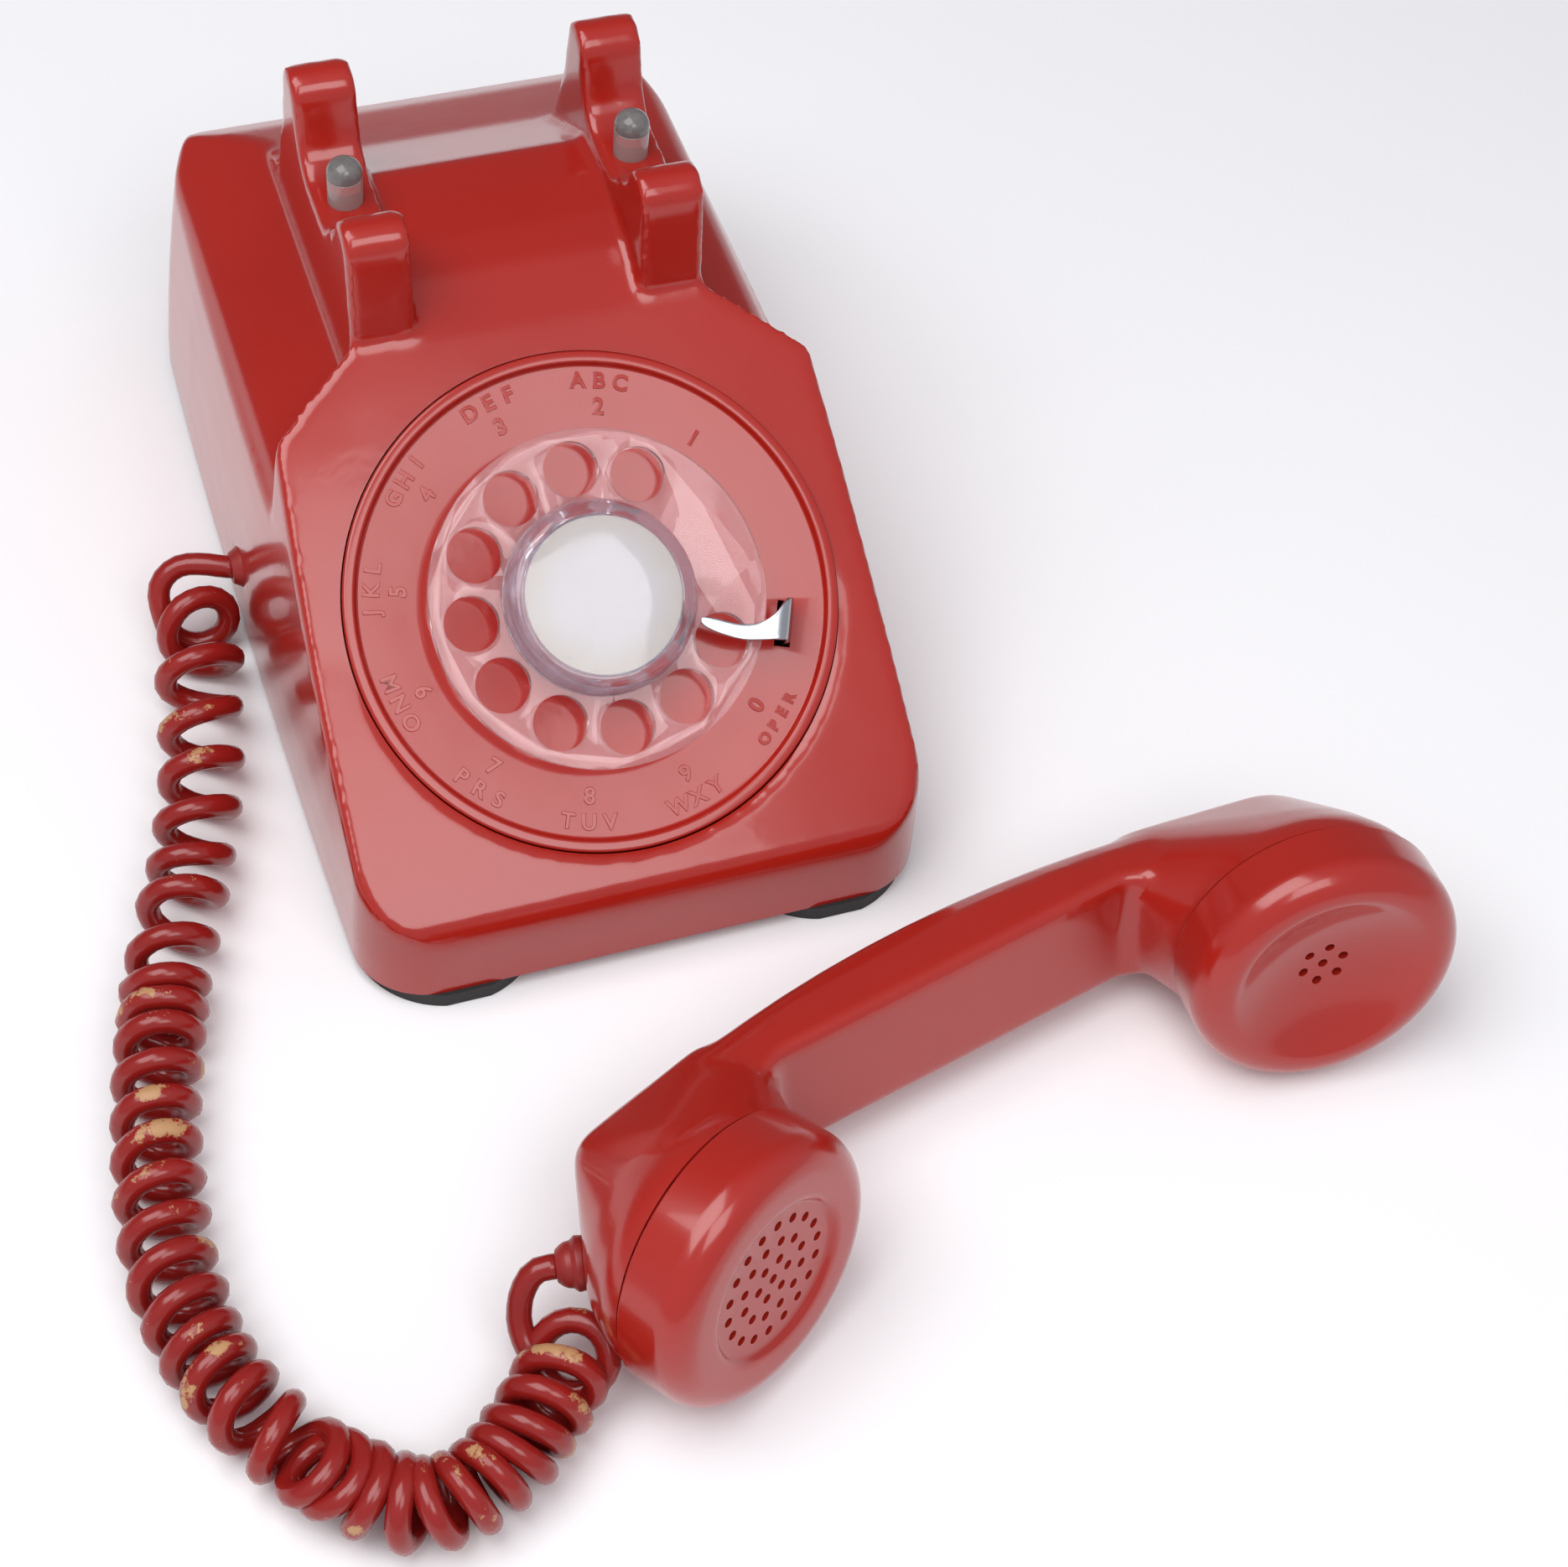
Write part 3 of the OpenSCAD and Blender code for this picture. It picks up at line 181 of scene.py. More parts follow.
# the straight ends, from the bush in the case and into the collar on the handset
exit_line = [(-67.4, 10, 20), (-70.6, 10.7, 20.3), (-75.4, 12.6, 20.6), (-80.2, 13.9, 20.0),
             (-84.2, 13.2, 18.0), (-86.4, 11.0, 14.8)]
end_line = [(-57.6, -200.5, 12.5), (-56.6, -195.6, 18), (-53.2, -192.9, 22.4),
            (-49.5, -193.1, 23.4), (-47.3, -193.5, 23.6)]


def between(points, i, t):
    """A smooth step between points i and i + 1."""
    a, b = points[max(i - 1, 0)], points[i]
    c, d = points[i + 1], points[min(i + 2, len(points) - 1)]
    return tuple(0.5 * (2 * q + (r - p) * t + (2 * p - 5 * q + 4 * r - s) * t * t
                        + (3 * q - p - 3 * r + s) * t ** 3) for p, q, r, s in zip(a, b, c, d))


coil = []
steps_per_point = 40
look = 20
fine = [between(coil_line, i, k / steps_per_point)
        for i in range(len(coil_line) - 1) for k in range(steps_per_point)] + [coil_line[-1]]
for i, (x, y, z, count, tip) in enumerate(fine):
    ahead = Vector(fine[min(i + look, len(fine) - 1)][:2]) - Vector(fine[max(i - look, 0)][:2])
    along = Vector((ahead.x, ahead.y, 0)).normalized()
    right = along.cross(Vector((0, 0, 1)))
    tip = math.radians(tip + lean * math.sin(lean_rate * count))
    rise = math.cos(tip) * Vector((0, 0, 1)) - math.sin(tip) * along
    turn = 2 * math.pi * count
    r = coil_r * (1 + swell * math.sin(swell_rate * count))
    coil.append(Vector((x, y, z)) + r * (math.cos(turn) * rise + math.sin(turn) * right))


def smooth_line(points, n):
    return [Vector(between(points, i, k / n)) for i in range(len(points) - 1) for k in range(n)] \
        + [Vector(points[-1])]


# each end leads into the coil in the direction that the coil has there
lead_steps, inner = 8, 6
lead_in = smooth_line(exit_line + [tuple(coil[0]), tuple(coil[inner])], lead_steps)[:-lead_steps]
lead_out = smooth_line([tuple(coil[-1 - inner]), tuple(coil[-1])] + end_line,
                       lead_steps)[lead_steps:]
centre_line = [p * MM for p in lead_in[:-1] + coil + lead_out[1:]]

# Even steps along the cord, about twenty to a turn
step = 2.3 * MM
even = [centre_line[0]]
for p in centre_line[1:]:
    while (p - even[-1]).length >= step:
        even.append(even[-1] + (p - even[-1]).normalized() * step)
if (centre_line[-1] - even[-1]).length > step / 2:
    even.append(centre_line[-1])

# The jacket's skin, and at each point how far it looks out from the middle of its turn
sides = 14
half_turn = 12
points, rub, faces = [], [], []
across = Vector((0, 0, 1))
for i, p in enumerate(even):
    along = (even[min(i + 1, len(even) - 1)] - even[max(i - 1, 0)]).normalized()
    across = (across - across.dot(along) * along).normalized()
    third = along.cross(across)
    near = even[max(i - half_turn, 0):i + half_turn + 1]
    middle = sum(near, Vector()) / len(near)
    outward = (p - middle).normalized() if (p - middle).length > 1e-5 else Vector((0, 0, 1))
    for k in range(sides):
        a = 2 * math.pi * k / sides
        normal = math.cos(a) * across + math.sin(a) * third
        points.append(p + cord_d / 2 * MM * normal)
        rub.append(max(0.0, normal.dot(outward)))
for i in range(len(even) - 1):
    for k in range(sides):
        a, b = i * sides + k, i * sides + (k + 1) % sides
        faces.append((a, b, b + sides, a + sides))
faces.append(tuple(reversed(range(sides))))
faces.append(tuple(range(len(points) - sides, len(points))))
mesh = bpy.data.meshes.new("handset_cord")
mesh.from_pydata([tuple(p) for p in points], [], faces)
mesh.attributes.new("rub", "FLOAT", "POINT").data.foreach_set("value", rub)
handset_cord = bpy.data.objects.new("handset_cord", mesh)
bpy.context.collection.objects.link(handset_cord)
only(handset_cord)
bpy.ops.object.shade_smooth()

cord_paint, tree, shader = new_material("red paint rubbed off a tan cord jacket", IOR=1.5)
place = add_node(tree, "ShaderNodeTexCoord").outputs["Object"]
worn = add_node(tree, "ShaderNodeAttribute", {"attribute_name": "rub"}).outputs["Fac"]
# rubbed patches about 6 mm long, broken up at 1 mm
patch = add_node(tree, "ShaderNodeTexNoise", Vector=place, Scale=70.0, Detail=6.0, Roughness=0.72)
add = add_node(tree, "ShaderNodeMath", {"operation": "MULTIPLY_ADD"}, in0=worn, in1=0.16,
               in2=patch.outputs["Fac"])
bare = add_node(tree, "ShaderNodeMapRange", Value=add.outputs[0], From_Min=0.725, From_Max=0.76)
tint = add_node(tree, "ShaderNodeTexNoise", Vector=place, Scale=25.0, Detail=3.0)
red_part = add_node(tree, "ShaderNodeMix", {"data_type": "RGBA"}, in0=tint.outputs["Fac"],
                    in6=srgb("#801614"), in7=srgb("#9C221D"))
tan_part = add_node(tree, "ShaderNodeMix", {"data_type": "RGBA"}, in0=patch.outputs["Fac"],
                    in6=srgb("#8F5A3A"), in7=srgb("#CDA070"))
colour = add_node(tree, "ShaderNodeMix", {"data_type": "RGBA"}, in0=bare.outputs[0],
                  in6=red_part.outputs[2], in7=tan_part.outputs[2])
gloss = add_node(tree, "ShaderNodeMapRange", Value=bare.outputs[0], To_Min=0.2, To_Max=0.5)
# paint film 0.1 mm proud of the bare patches
film = add_node(tree, "ShaderNodeBump", {"invert": True}, Strength=0.5, Distance=0.0001,
                Height=bare.outputs[0])
tree.links.new(colour.outputs[2], shader.inputs["Base Color"])
tree.links.new(gloss.outputs[0], shader.inputs["Roughness"])
tree.links.new(film.outputs[0], shader.inputs["Normal"])
handset_cord.data.materials.append(cord_paint)

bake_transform(handset_cord)
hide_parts("cord_exit", "cord_curl", "cord_end")

# ---------------------------------------------------------------- case
# One thick moulding, painted glossy red in place with the dial on. The mould gave it
# soft edges, and the sprayed coat has rounded them further and filled the corners.


def add_modifier(o, kind, **settings):
    only(o)
    m = o.modifiers.new(kind.lower(), kind)
    for key, value in settings.items():
        setattr(m, key, value)
    bpy.ops.object.modifier_apply(modifier=m.name)


def joined(objects):
    only(*objects)
    bpy.ops.object.join()
    return bpy.context.object


def copy_of(name, new_name):
    """A merged copy of a CAD node's mesh."""
    o = bpy.data.objects.new(new_name, nodes[name].data.copy())
    bpy.context.collection.objects.link(o)
    o.data.materials.clear()
    only(o)
    bpy.ops.object.mode_set(mode="EDIT")
    bpy.ops.mesh.select_all(action="SELECT")
    bpy.ops.mesh.remove_doubles(threshold=1e-6)
    bpy.ops.object.mode_set(mode="OBJECT")
    return o


def rod(name, radius, low, high, place, vertices=96):
    """A closed cylinder from low to high along its place's Z, in mm."""
    bpy.ops.object.select_all(action="DESELECT")
    bpy.ops.mesh.primitive_cylinder_add(vertices=vertices, radius=radius * MM,
                                        depth=(high - low) * MM,
                                        location=(0, 0, (low + high) / 2 * MM))
    o = bpy.context.object
    o.name = name
    bpy.ops.object.transform_apply()
    o.data.transform(place)
    return o


def block(name, low, high):
    """A closed box between two corners, in mm."""
    bpy.ops.object.select_all(action="DESELECT")
    bpy.ops.mesh.primitive_cube_add(size=1, location=[(a + b) / 2 * MM for a, b in zip(low, high)])
    o = bpy.context.object
    o.name = name
    o.scale = [(b - a) * MM for a, b in zip(low, high)]
    bpy.ops.object.transform_apply()
    return o


def at(x, y, z, rx=0.0, ry=0.0, rz=0.0):
    """A place: turned about X, then Y, then Z, in degrees, and moved, in mm."""
    turn = Matrix.Rotation(math.radians(rz), 4, "Z") @ Matrix.Rotation(math.radians(ry), 4, "Y") \
        @ Matrix.Rotation(math.radians(rx), 4, "X")
    return Matrix.Translation(Vector((x, y, z)) * MM) @ turn


def cut(o, *tools):
    """Cuts the tools out of o and deletes them."""
    for t in tools:
        add_modifier(o, "BOOLEAN", operation="DIFFERENCE", object=t, solver="MANIFOLD")
        bpy.data.objects.remove(t)


def smooth_by_angle(o, degrees):
    only(o)
    bpy.ops.object.shade_smooth_by_angle(angle=math.radians(degrees))


def dress(o, material, body, slot, *stands_for):
    """A finished piece's material, the body it moves with, and what it replaces."""
    o.data.materials.clear()
    o.data.materials.append(material)
    for face in o.data.polygons:
        face.material_index = 0
    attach(o, body)
    if stands_for:
        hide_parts(*stands_for)


# the dial's joint turns clockwise, so its axis points into the case
dial_joint = joints["dial_turn"]
face_slope = math.degrees(math.atan2(dial_joint["axis"][1], -dial_joint["axis"][2]))
dial_place = Matrix.Translation(Vector(dial_joint["pos_m"])) \
    @ Matrix.Rotation(math.radians(face_slope), 4, "X")
case_low = 4.0
dial_hole_r = 56.1
plunger_x, plunger_y = 33.1, 32.3
plunger_places = [at(plunger_x, plunger_y, 0), at(-plunger_x, plunger_y, 0)]
plunger_hole_r = 4.1
trough_floor = 108.8
bush_place = at(-67, 10, 20, ry=90)
inlet_place = at(0, 120.4, 16, rx=90)
bush_hole_r = 5.0

# The case is closed for its coat: its rim is drawn down, and plugs fill its underside,
# the dial's hole, the plungers' holes and the two bush holes.
case = copy_of("housing", "case")
for v in case.data.vertices:
    if v.co.z < (case_low + 0.01) * MM:
        v.co.z = -2 * MM
plugs = [block("plug", (-60, -100, -8), (60, 110, -1)),
         block("plug", (-66, -90, -8), (66, 90, -1)),
         rod("plug", dial_hole_r + 1, -4.2, -1.5, dial_place)]
plug_r = 6
plugs += [rod("plug", plug_r, 100, trough_floor, place) for place in plunger_places]
plugs += [rod("plug", plug_r, 0.4, 3, bush_place), rod("plug", plug_r, 1.0, 3.4, inlet_place)]


def sprayed(o, voxel, rounds, keep):
    """The closed solid o with its outside rounded over as thick paint does it, and its
    hollows left nearly as they were. The grid is turned so that no edge runs along it,
    and a share of the faces is kept, fewer in the hollows."""
    turn = Matrix.Rotation(0.35, 4, "X") @ Matrix.Rotation(0.45, 4, "Y") \
        @ Matrix.Rotation(0.6, 4, "Z")
    o.data.transform(turn)
    add_modifier(o, "REMESH", mode="VOXEL", voxel_size=voxel * MM)
    only(o)
    bpy.ops.object.mode_set(mode="EDIT")
    bpy.ops.mesh.select_all(action="SELECT")
    bpy.ops.mesh.separate(type="LOOSE")
    bpy.ops.object.mode_set(mode="OBJECT")
    shells = sorted(bpy.context.selected_objects, key=lambda s: -s.dimensions.length)
    hollow_size = 20 * MM
    hollows = [s for s in shells[1:] if s.dimensions.length > hollow_size]
    for s in shells[1:]:
        if s not in hollows:
            bpy.data.objects.remove(s)
    add_modifier(shells[0], "SMOOTH", factor=0.5, iterations=rounds)
    add_modifier(shells[0], "DECIMATE", ratio=keep)
    for s in hollows:
        add_modifier(s, "SMOOTH", factor=0.5, iterations=4)
        add_modifier(s, "DECIMATE", ratio=keep / 4)
    whole = joined([shells[0]] + hollows)
    whole.data.transform(turn.inverted())
    return whole


case = sprayed(joined([case] + plugs), 0.9, 24, 0.3)
case.name = "case"
cut(case, block("below", (-90, -140, -30), (90, 150, case_low)),
    rod("dial hole", dial_hole_r, -9, 11, dial_place, 160),
    *[rod("plunger hole", plunger_hole_r, 90, 118, place, 64) for place in plunger_places],
    rod("bush hole", bush_hole_r, -8, 10, bush_place, 48),
    rod("inlet hole", bush_hole_r, -6, 9, inlet_place, 48))
smooth_by_angle(case, 35)


def red_paint(name, flat, deep, rough, chip):
    """Sprayed gloss enamel over a coloured moulding: it levels to a slight orange peel,
    pools a little, and shows the lighter moulding where it is chipped."""
    m, tree, shader = new_material(name, IOR=1.5, Coat_Weight=0.35, Coat_Roughness=0.06)
    place = add_node(tree, "ShaderNodeTexCoord").outputs["Object"]
    cloud = add_node(tree, "ShaderNodeTexNoise", Vector=place, Scale=14.0, Detail=3.0)
    colour = add_node(tree, "ShaderNodeMix", {"data_type": "RGBA"}, in0=cloud.outputs["Fac"],
                      in6=srgb(deep), in7=srgb(flat))
    # specks 0.3 to 1 mm across, a few to a hand's breadth; chip is the share of the
    # pattern's cells that stay whole
    spot = add_node(tree, "ShaderNodeTexVoronoi", {"feature": "F1"}, Vector=place, Scale=95.0,
                    Randomness=1.0)
    wear = add_node(tree, "ShaderNodeTexNoise", Vector=place, Scale=420.0, Detail=3.0)
    reach = add_node(tree, "ShaderNodeMath", {"operation": "MULTIPLY_ADD"},
                     in0=wear.outputs["Fac"], in1=0.16, in2=spot.outputs["Distance"])
    few = add_node(tree, "ShaderNodeSeparateColor", Color=spot.outputs["Color"])
    gate = add_node(tree, "ShaderNodeMapRange", Value=few.outputs[0], From_Min=chip,
                    From_Max=chip + 0.002)
    near = add_node(tree, "ShaderNodeMapRange", Value=reach.outputs[0], From_Min=0.145,
                    From_Max=0.125)
    chipped = add_node(tree, "ShaderNodeMath", {"operation": "MULTIPLY"}, in0=gate.outputs[0],
                       in1=near.outputs[0])
    mix = add_node(tree, "ShaderNodeMix", {"data_type": "RGBA"}, in0=chipped.outputs[0],
                   in6=colour.outputs[2], in7=srgb("#C9796A"))
    gloss = add_node(tree, "ShaderNodeMapRange", Value=cloud.outputs["Fac"],
                     To_Min=rough - 0.05, To_Max=rough + 0.07)
    # orange peel about 1.5 mm across, over pooling about 10 mm across
    peel = add_node(tree, "ShaderNodeTexNoise", Vector=place, Scale=330.0, Detail=1.0)
    pool = add_node(tree, "ShaderNodeTexNoise", Vector=place, Scale=55.0, Detail=1.0)
    coarse = add_node(tree, "ShaderNodeBump", Strength=0.25, Distance=0.0004,
                      Height=pool.outputs["Fac"])
    fine_bump = add_node(tree, "ShaderNodeBump", Strength=0.10, Distance=0.0001,
                         Height=peel.outputs["Fac"], Normal=coarse.outputs[0])
    tree.links.new(mix.outputs[2], shader.inputs["Base Color"])
    tree.links.new(gloss.outputs[0], shader.inputs["Roughness"])
    tree.links.new(fine_bump.outputs[0], shader.inputs["Normal"])
    tree.links.new(fine_bump.outputs[0], shader.inputs["Coat Normal"])
    return m


case_paint = red_paint("glossy red enamel on the case", "#AE2217", "#9B190F", 0.18, 0.985)
dress(case, case_paint, "base", "painted_case", "housing")

# ---------------------------------------------------------------- cord bushes
# Two short red rubber collars: one lies flush in the case's left wall, and the other
# stands out of the handset's mouthpiece end and tapers onto the cord.


def turned(name, section, place, steps=96):
    """A ring section of (radius, height) points in mm, spun round its place's Z."""
    bpy.ops.object.select_all(action="DESELECT")
    bpy.ops.mesh.primitive_circle_add(vertices=len(section), radius=1)
    o = bpy.context.object
    o.name = name
    for v, (r, h) in zip(o.data.vertices, section):
        v.co = (r * MM, 0, h * MM)
    bpy.ops.object.mode_set(mode="EDIT")
    bpy.ops.mesh.select_all(action="SELECT")
    bpy.ops.mesh.spin(steps=steps, angle=2 * math.pi, center=(0, 0, 0), axis=(0, 0, 1))
    bpy.ops.mesh.select_all(action="SELECT")
    bpy.ops.mesh.remove_doubles(threshold=2e-6)
    bpy.ops.mesh.normals_make_consistent(inside=False)
    bpy.ops.object.mode_set(mode="OBJECT")
    o.data.transform(place)
    return o


def rounded(section, corner):
    """The section with each corner rounded by a radius in mm, over at most a share of its
    edges. Points on the axis and nearly straight corners stay as they are."""
    steps, share, nearly_straight = 4, 0.45, math.radians(172)
    out = []
    for i, p in enumerate(section):
        p = Vector(p)
        a, b = Vector(section[i - 1]), Vector(section[(i + 1) % len(section)])
        da, db = (a - p).normalized(), (b - p).normalized()
        angle = da.angle(db)
        if p.x < 1e-6 or angle > nearly_straight:
            out.append(tuple(p))
            continue
        set_back = min(corner / math.tan(angle / 2), share * (a - p).length,
                       share * (b - p).length)
        start, end = p + da * set_back, p + db * set_back
        for k in range(steps + 1):
            t = k / steps
            out.append(tuple((1 - t) ** 2 * start + 2 * t * (1 - t) * p + t * t * end))
    return out


handset_place = at(61.2, -196.6, 33.3, rz=14.4) @ Matrix.Rotation(math.radians(77.5), 4, "X")
collar_place = handset_place @ at(-99.5, -3, -29, ry=-116)
case_bush = turned("case_cord_bush", rounded([(2.5, -2.2), (3.7, -2.0), (4.6, -0.4), (4.95, 0.2),
                   (4.95, 6), (2.5, 6)], 0.4), bush_place, 48)
collar = turned("handset_cord_collar", rounded([(2.6, -4), (3.55, -4), (3.55, 0.5), (5.6, 0.7),
                (5.8, 2.4), (4.9, 3.4), (4.7, 4.6), (4.3, 5.4), (3.3, 6.6), (2.6, 6.6)], 0.6),
                collar_place, 48)
bush_rubber, tree, shader = new_material("painted red rubber bush", Roughness=0.42, IOR=1.5)
grime = add_node(tree, "ShaderNodeTexNoise", Scale=260.0, Detail=4.0,
                 Vector=add_node(tree, "ShaderNodeTexCoord").outputs["Object"])
tone = add_node(tree, "ShaderNodeMix", {"data_type": "RGBA"}, in0=grime.outputs["Fac"],
                in6=srgb("#7C1815"), in7=srgb("#A52A25"))
tree.links.new(tone.outputs[2], shader.inputs["Base Color"])
for o, body, node_name in ((case_bush, "base", "handset_cord_grommet"),
                           (collar, "handset", "handset_grommet")):
    smooth_by_angle(o, 50)
    dress(o, bush_rubber, body, "bush_red", node_name)

# ---------------------------------------------------------------- number plate
# A shallow moulded dish with a rolled rim. Its figures and letters were moulded in and
# have all but vanished under the paint, which leaves them as soft raised strokes.

plate_face = -1.6
stop_slot_r, stop_clock = 41.9, -18
hole_step = 30
number_plate = turned("number_plate", rounded([(6, -3.6), (6, plate_face), (52.7, plate_face),
                      (53.3, 0), (55.8, 0), (55.8, -5), (53.6, -5), (53.6, -3.6)], 0.7),
                      dial_place, 180)
slot_tool = block("slot", (stop_slot_r - 0.2, -5.2, -8), (stop_slot_r + 3.5, 5.2, 3))
slot_tool.data.transform(dial_place @ Matrix.Rotation(math.radians(stop_clock), 4, "Z"))
cut(number_plate, slot_tool)
smooth_by_angle(number_plate, 40)
dress(number_plate, case_paint, "base", "painted_case", "number_plate")

# round the plate from the first finger hole; the lower five are turned to be read upright
groups = ["1", "ABC 2", "DEF 3", "GHI 4", "JKL 5", "MNO 6", "PRS 7", "TUV 8", "WXY 9", "OPER 0"]


def raised_text(text, size, radius, degrees, turned_in):
    """Letters that stand on the plate, their tops outwards or turned in."""
    bpy.ops.object.select_all(action="DESELECT")
    bpy.ops.object.text_add()
    o = bpy.context.object
    o.data.body = text
    o.data.align_x = "CENTER"
    o.data.align_y = "CENTER"
    o.data.size = size * MM
    o.data.offset = 0.08 * MM
    o.data.extrude = 0.08 * MM
    o.data.bevel_depth = 0.14 * MM
    o.data.bevel_resolution = 1
    o.data.resolution_u = 3
    bpy.ops.object.convert(target="MESH")
    o = bpy.context.object
    o.data.transform(dial_place @ Matrix.Rotation(math.radians(degrees - 90), 4, "Z")
                     @ at(0, radius, plate_face + 0.02, rz=180 if turned_in else 0))
    return o


first_label, digit_r, letter_r, digit_size = 46, 43.4, 49.2, 5.2
strokes = []
for i, group in enumerate(groups):
    label_at = first_label + hole_step * i
    turned_in = i > 4
    words, _, digit = group.rpartition(" ")
    strokes.append(raised_text(digit, digit_size, digit_r, label_at, turned_in))
    size, spread = (5.0, 5.6) if len(words) == 3 else (3.6, 4.2)
    for k, letter in enumerate(words):
        ahead = (k - (len(words) - 1) / 2) * spread * (-1 if turned_in else 1)
        strokes.append(raised_text(letter, size, letter_r, label_at - ahead, turned_in))
characters = joined(strokes)
characters.name = "dial_characters"
smooth_by_angle(characters, 40)
dress(characters, case_paint, "base", "painted_case")

# ---------------------------------------------------------------- fingerwheel
# Clear acrylic, moulded with ten finger holes whose edges are rounded over. Years of
# fingers have left it a little hazy, and the red plate shows through it.


def clear_plastic(name, colour, rough, through, scuff=0.12):
    """Acrylic that lets this share of the light through and scatters the rest. Lamps shine
    through it, because a shadow from something clear is faint."""
    m, tree, shader = new_material(name, IOR=1.49, Base_Color=srgb(colour),
                                   Transmission_Weight=through)
    place = add_node(tree, "ShaderNodeTexCoord").outputs["Object"]
    # fine scuffs about 0.5 mm wide, in soft patches
    lines = add_node(tree, "ShaderNodeTexNoise", Vector=place, Scale=900.0, Detail=4.0)
    patches = add_node(tree, "ShaderNodeTexNoise", Vector=place, Scale=60.0, Detail=2.0)
    both = add_node(tree, "ShaderNodeMath", {"operation": "MULTIPLY"}, in0=lines.outputs["Fac"],
                    in1=patches.outputs["Fac"])
    haze = add_node(tree, "ShaderNodeMapRange", Value=both.outputs[0], From_Min=0.15, From_Max=0.45,
                    To_Min=rough, To_Max=rough + scuff)
    tree.links.new(haze.outputs[0], shader.inputs["Roughness"])
    lamp_ray = add_node(tree, "ShaderNodeLightPath").outputs["Is Shadow Ray"]
    clear = add_node(tree, "ShaderNodeBsdfTransparent", Color=srgb("#DCD4D4"))
    surface = add_node(tree, "ShaderNodeMixShader", in0=lamp_ray, in1=shader.outputs[0],
                       in2=clear.outputs[0])
    tree.links.new(surface.outputs[0], tree.nodes["Material Output"].inputs["Surface"])
    return m


wheel_r, wheel_low, wheel_high = 37.7, 2.0, 5.0
hole_r, hole_circle_r, first_hole = 6.2, 29, 60
fingerwheel = rod("fingerwheel", wheel_r, wheel_low, wheel_high, dial_place, 180)
hole_tools = []
for i in range(10):
    a = math.radians(first_hole + hole_step * i)
    hole_place = dial_place @ at(hole_circle_r * math.cos(a), hole_circle_r * math.sin(a), 0)
    hole_tools.append(rod("hole", hole_r, wheel_low - 1, wheel_high + 1, hole_place, 64))
cut(fingerwheel, joined(hole_tools),
    rod("bore", 4.5, wheel_low - 1, wheel_high + 1, dial_place, 48))
add_modifier(fingerwheel, "BEVEL", width=0.55 * MM, segments=3, limit_method="ANGLE",
             angle_limit=math.radians(50))
smooth_by_angle(fingerwheel, 40)
# the pale pink base colour is painted light: it stands for the red plate seen through the wheel,
# and is not a tint of the clear acrylic itself
acrylic_tinted_as_painted_red_light = clear_plastic("scuffed clear acrylic", "#F4E6E8", 0.02, 0.92, 0.07)
dress(fingerwheel, acrylic_tinted_as_painted_red_light, "dial_wheel", "clear_plastic", "fingerwheel")

# ---------------------------------------------------------------- number card and its cover
# A disc of off-white card, yellowed at its edge, under a snap-on clear cover with a
# thick bluish rim.

cover = turned("card_cover", [(20.1, 5.0), (21.6, 5.0), (21.8, 5.3), (21.8, 6.4), (21.3, 8.2),
               (20.7, 9.6), (20.1, 10.5), (19.2, 11.05), (18.2, 11.2), (9, 11.2), (0, 11.2),
               (0, 10.2), (9, 10.2), (17.5, 10.2), (17.9, 9.9), (17.9, 8.9), (18.6, 8.2),
               (19.5, 6.6)], dial_place, 128)
smooth_by_angle(cover, 35)
dress(cover, clear_plastic("bluish clear cover", "#E8EDF9", 0.03, 0.96), "dial_wheel",
      "clear_plastic", "card_retainer")
card = turned("number_card", [(0, 9.4), (17.3, 9.4), (17.5, 9.55), (17.5, 9.9), (17.3, 10.05),
              (0, 10.05)], dial_place, 96)
smooth_by_angle(card, 35)
card_board, tree, shader = new_material("yellowed white card", Roughness=0.75)
spot = add_node(tree, "ShaderNodeTexCoord").outputs["Object"]
centred = add_node(tree, "ShaderNodeVectorMath", {"operation": "DISTANCE"}, in0=spot,
                   in1=tuple(dial_place @ Vector((0, 0, 10 * MM))))
fibre = add_node(tree, "ShaderNodeTexNoise", Vector=spot, Scale=1500.0, Detail=3.0)
stain = add_node(tree, "ShaderNodeTexNoise", Vector=spot, Scale=90.0, Detail=4.0)
edge = add_node(tree, "ShaderNodeMath", {"operation": "MULTIPLY_ADD"}, in0=stain.outputs["Fac"],
                in1=0.005, in2=centred.outputs["Value"])
aged = add_node(tree, "ShaderNodeMapRange", Value=edge.outputs[0], From_Min=0.012, From_Max=0.0195)
paper = add_node(tree, "ShaderNodeMix", {"data_type": "RGBA"}, in0=fibre.outputs["Fac"],
                 in6=srgb("#BDB4A6"), in7=srgb("#CCC4B8"))
tone = add_node(tree, "ShaderNodeMix", {"data_type": "RGBA"}, in0=aged.outputs[0],
                in6=paper.outputs[2], in7=srgb("#BBAC92"))
tree.links.new(tone.outputs[2], shader.inputs["Base Color"])
dress(card, card_board, "dial_wheel", "card_paper", "number_card")

# ---------------------------------------------------------------- finger stop
# A strip of steel, bent up through the plate's slot and in over the wheel, where it
# narrows to a rounded tip; chromium plated.


def chrome_look(name, colour, rough):
    m, tree, shader = new_material(name, Metallic=1.0, Base_Color=srgb(colour))
    rubbed = add_node(tree, "ShaderNodeTexNoise", Scale=500.0, Detail=3.0,
                      Vector=add_node(tree, "ShaderNodeTexCoord").outputs["Object"])
    gloss = add_node(tree, "ShaderNodeMapRange", Value=rubbed.outputs["Fac"],
                     To_Min=rough, To_Max=rough + 0.12)
    tree.links.new(gloss.outputs[0], shader.inputs["Roughness"])
    return m


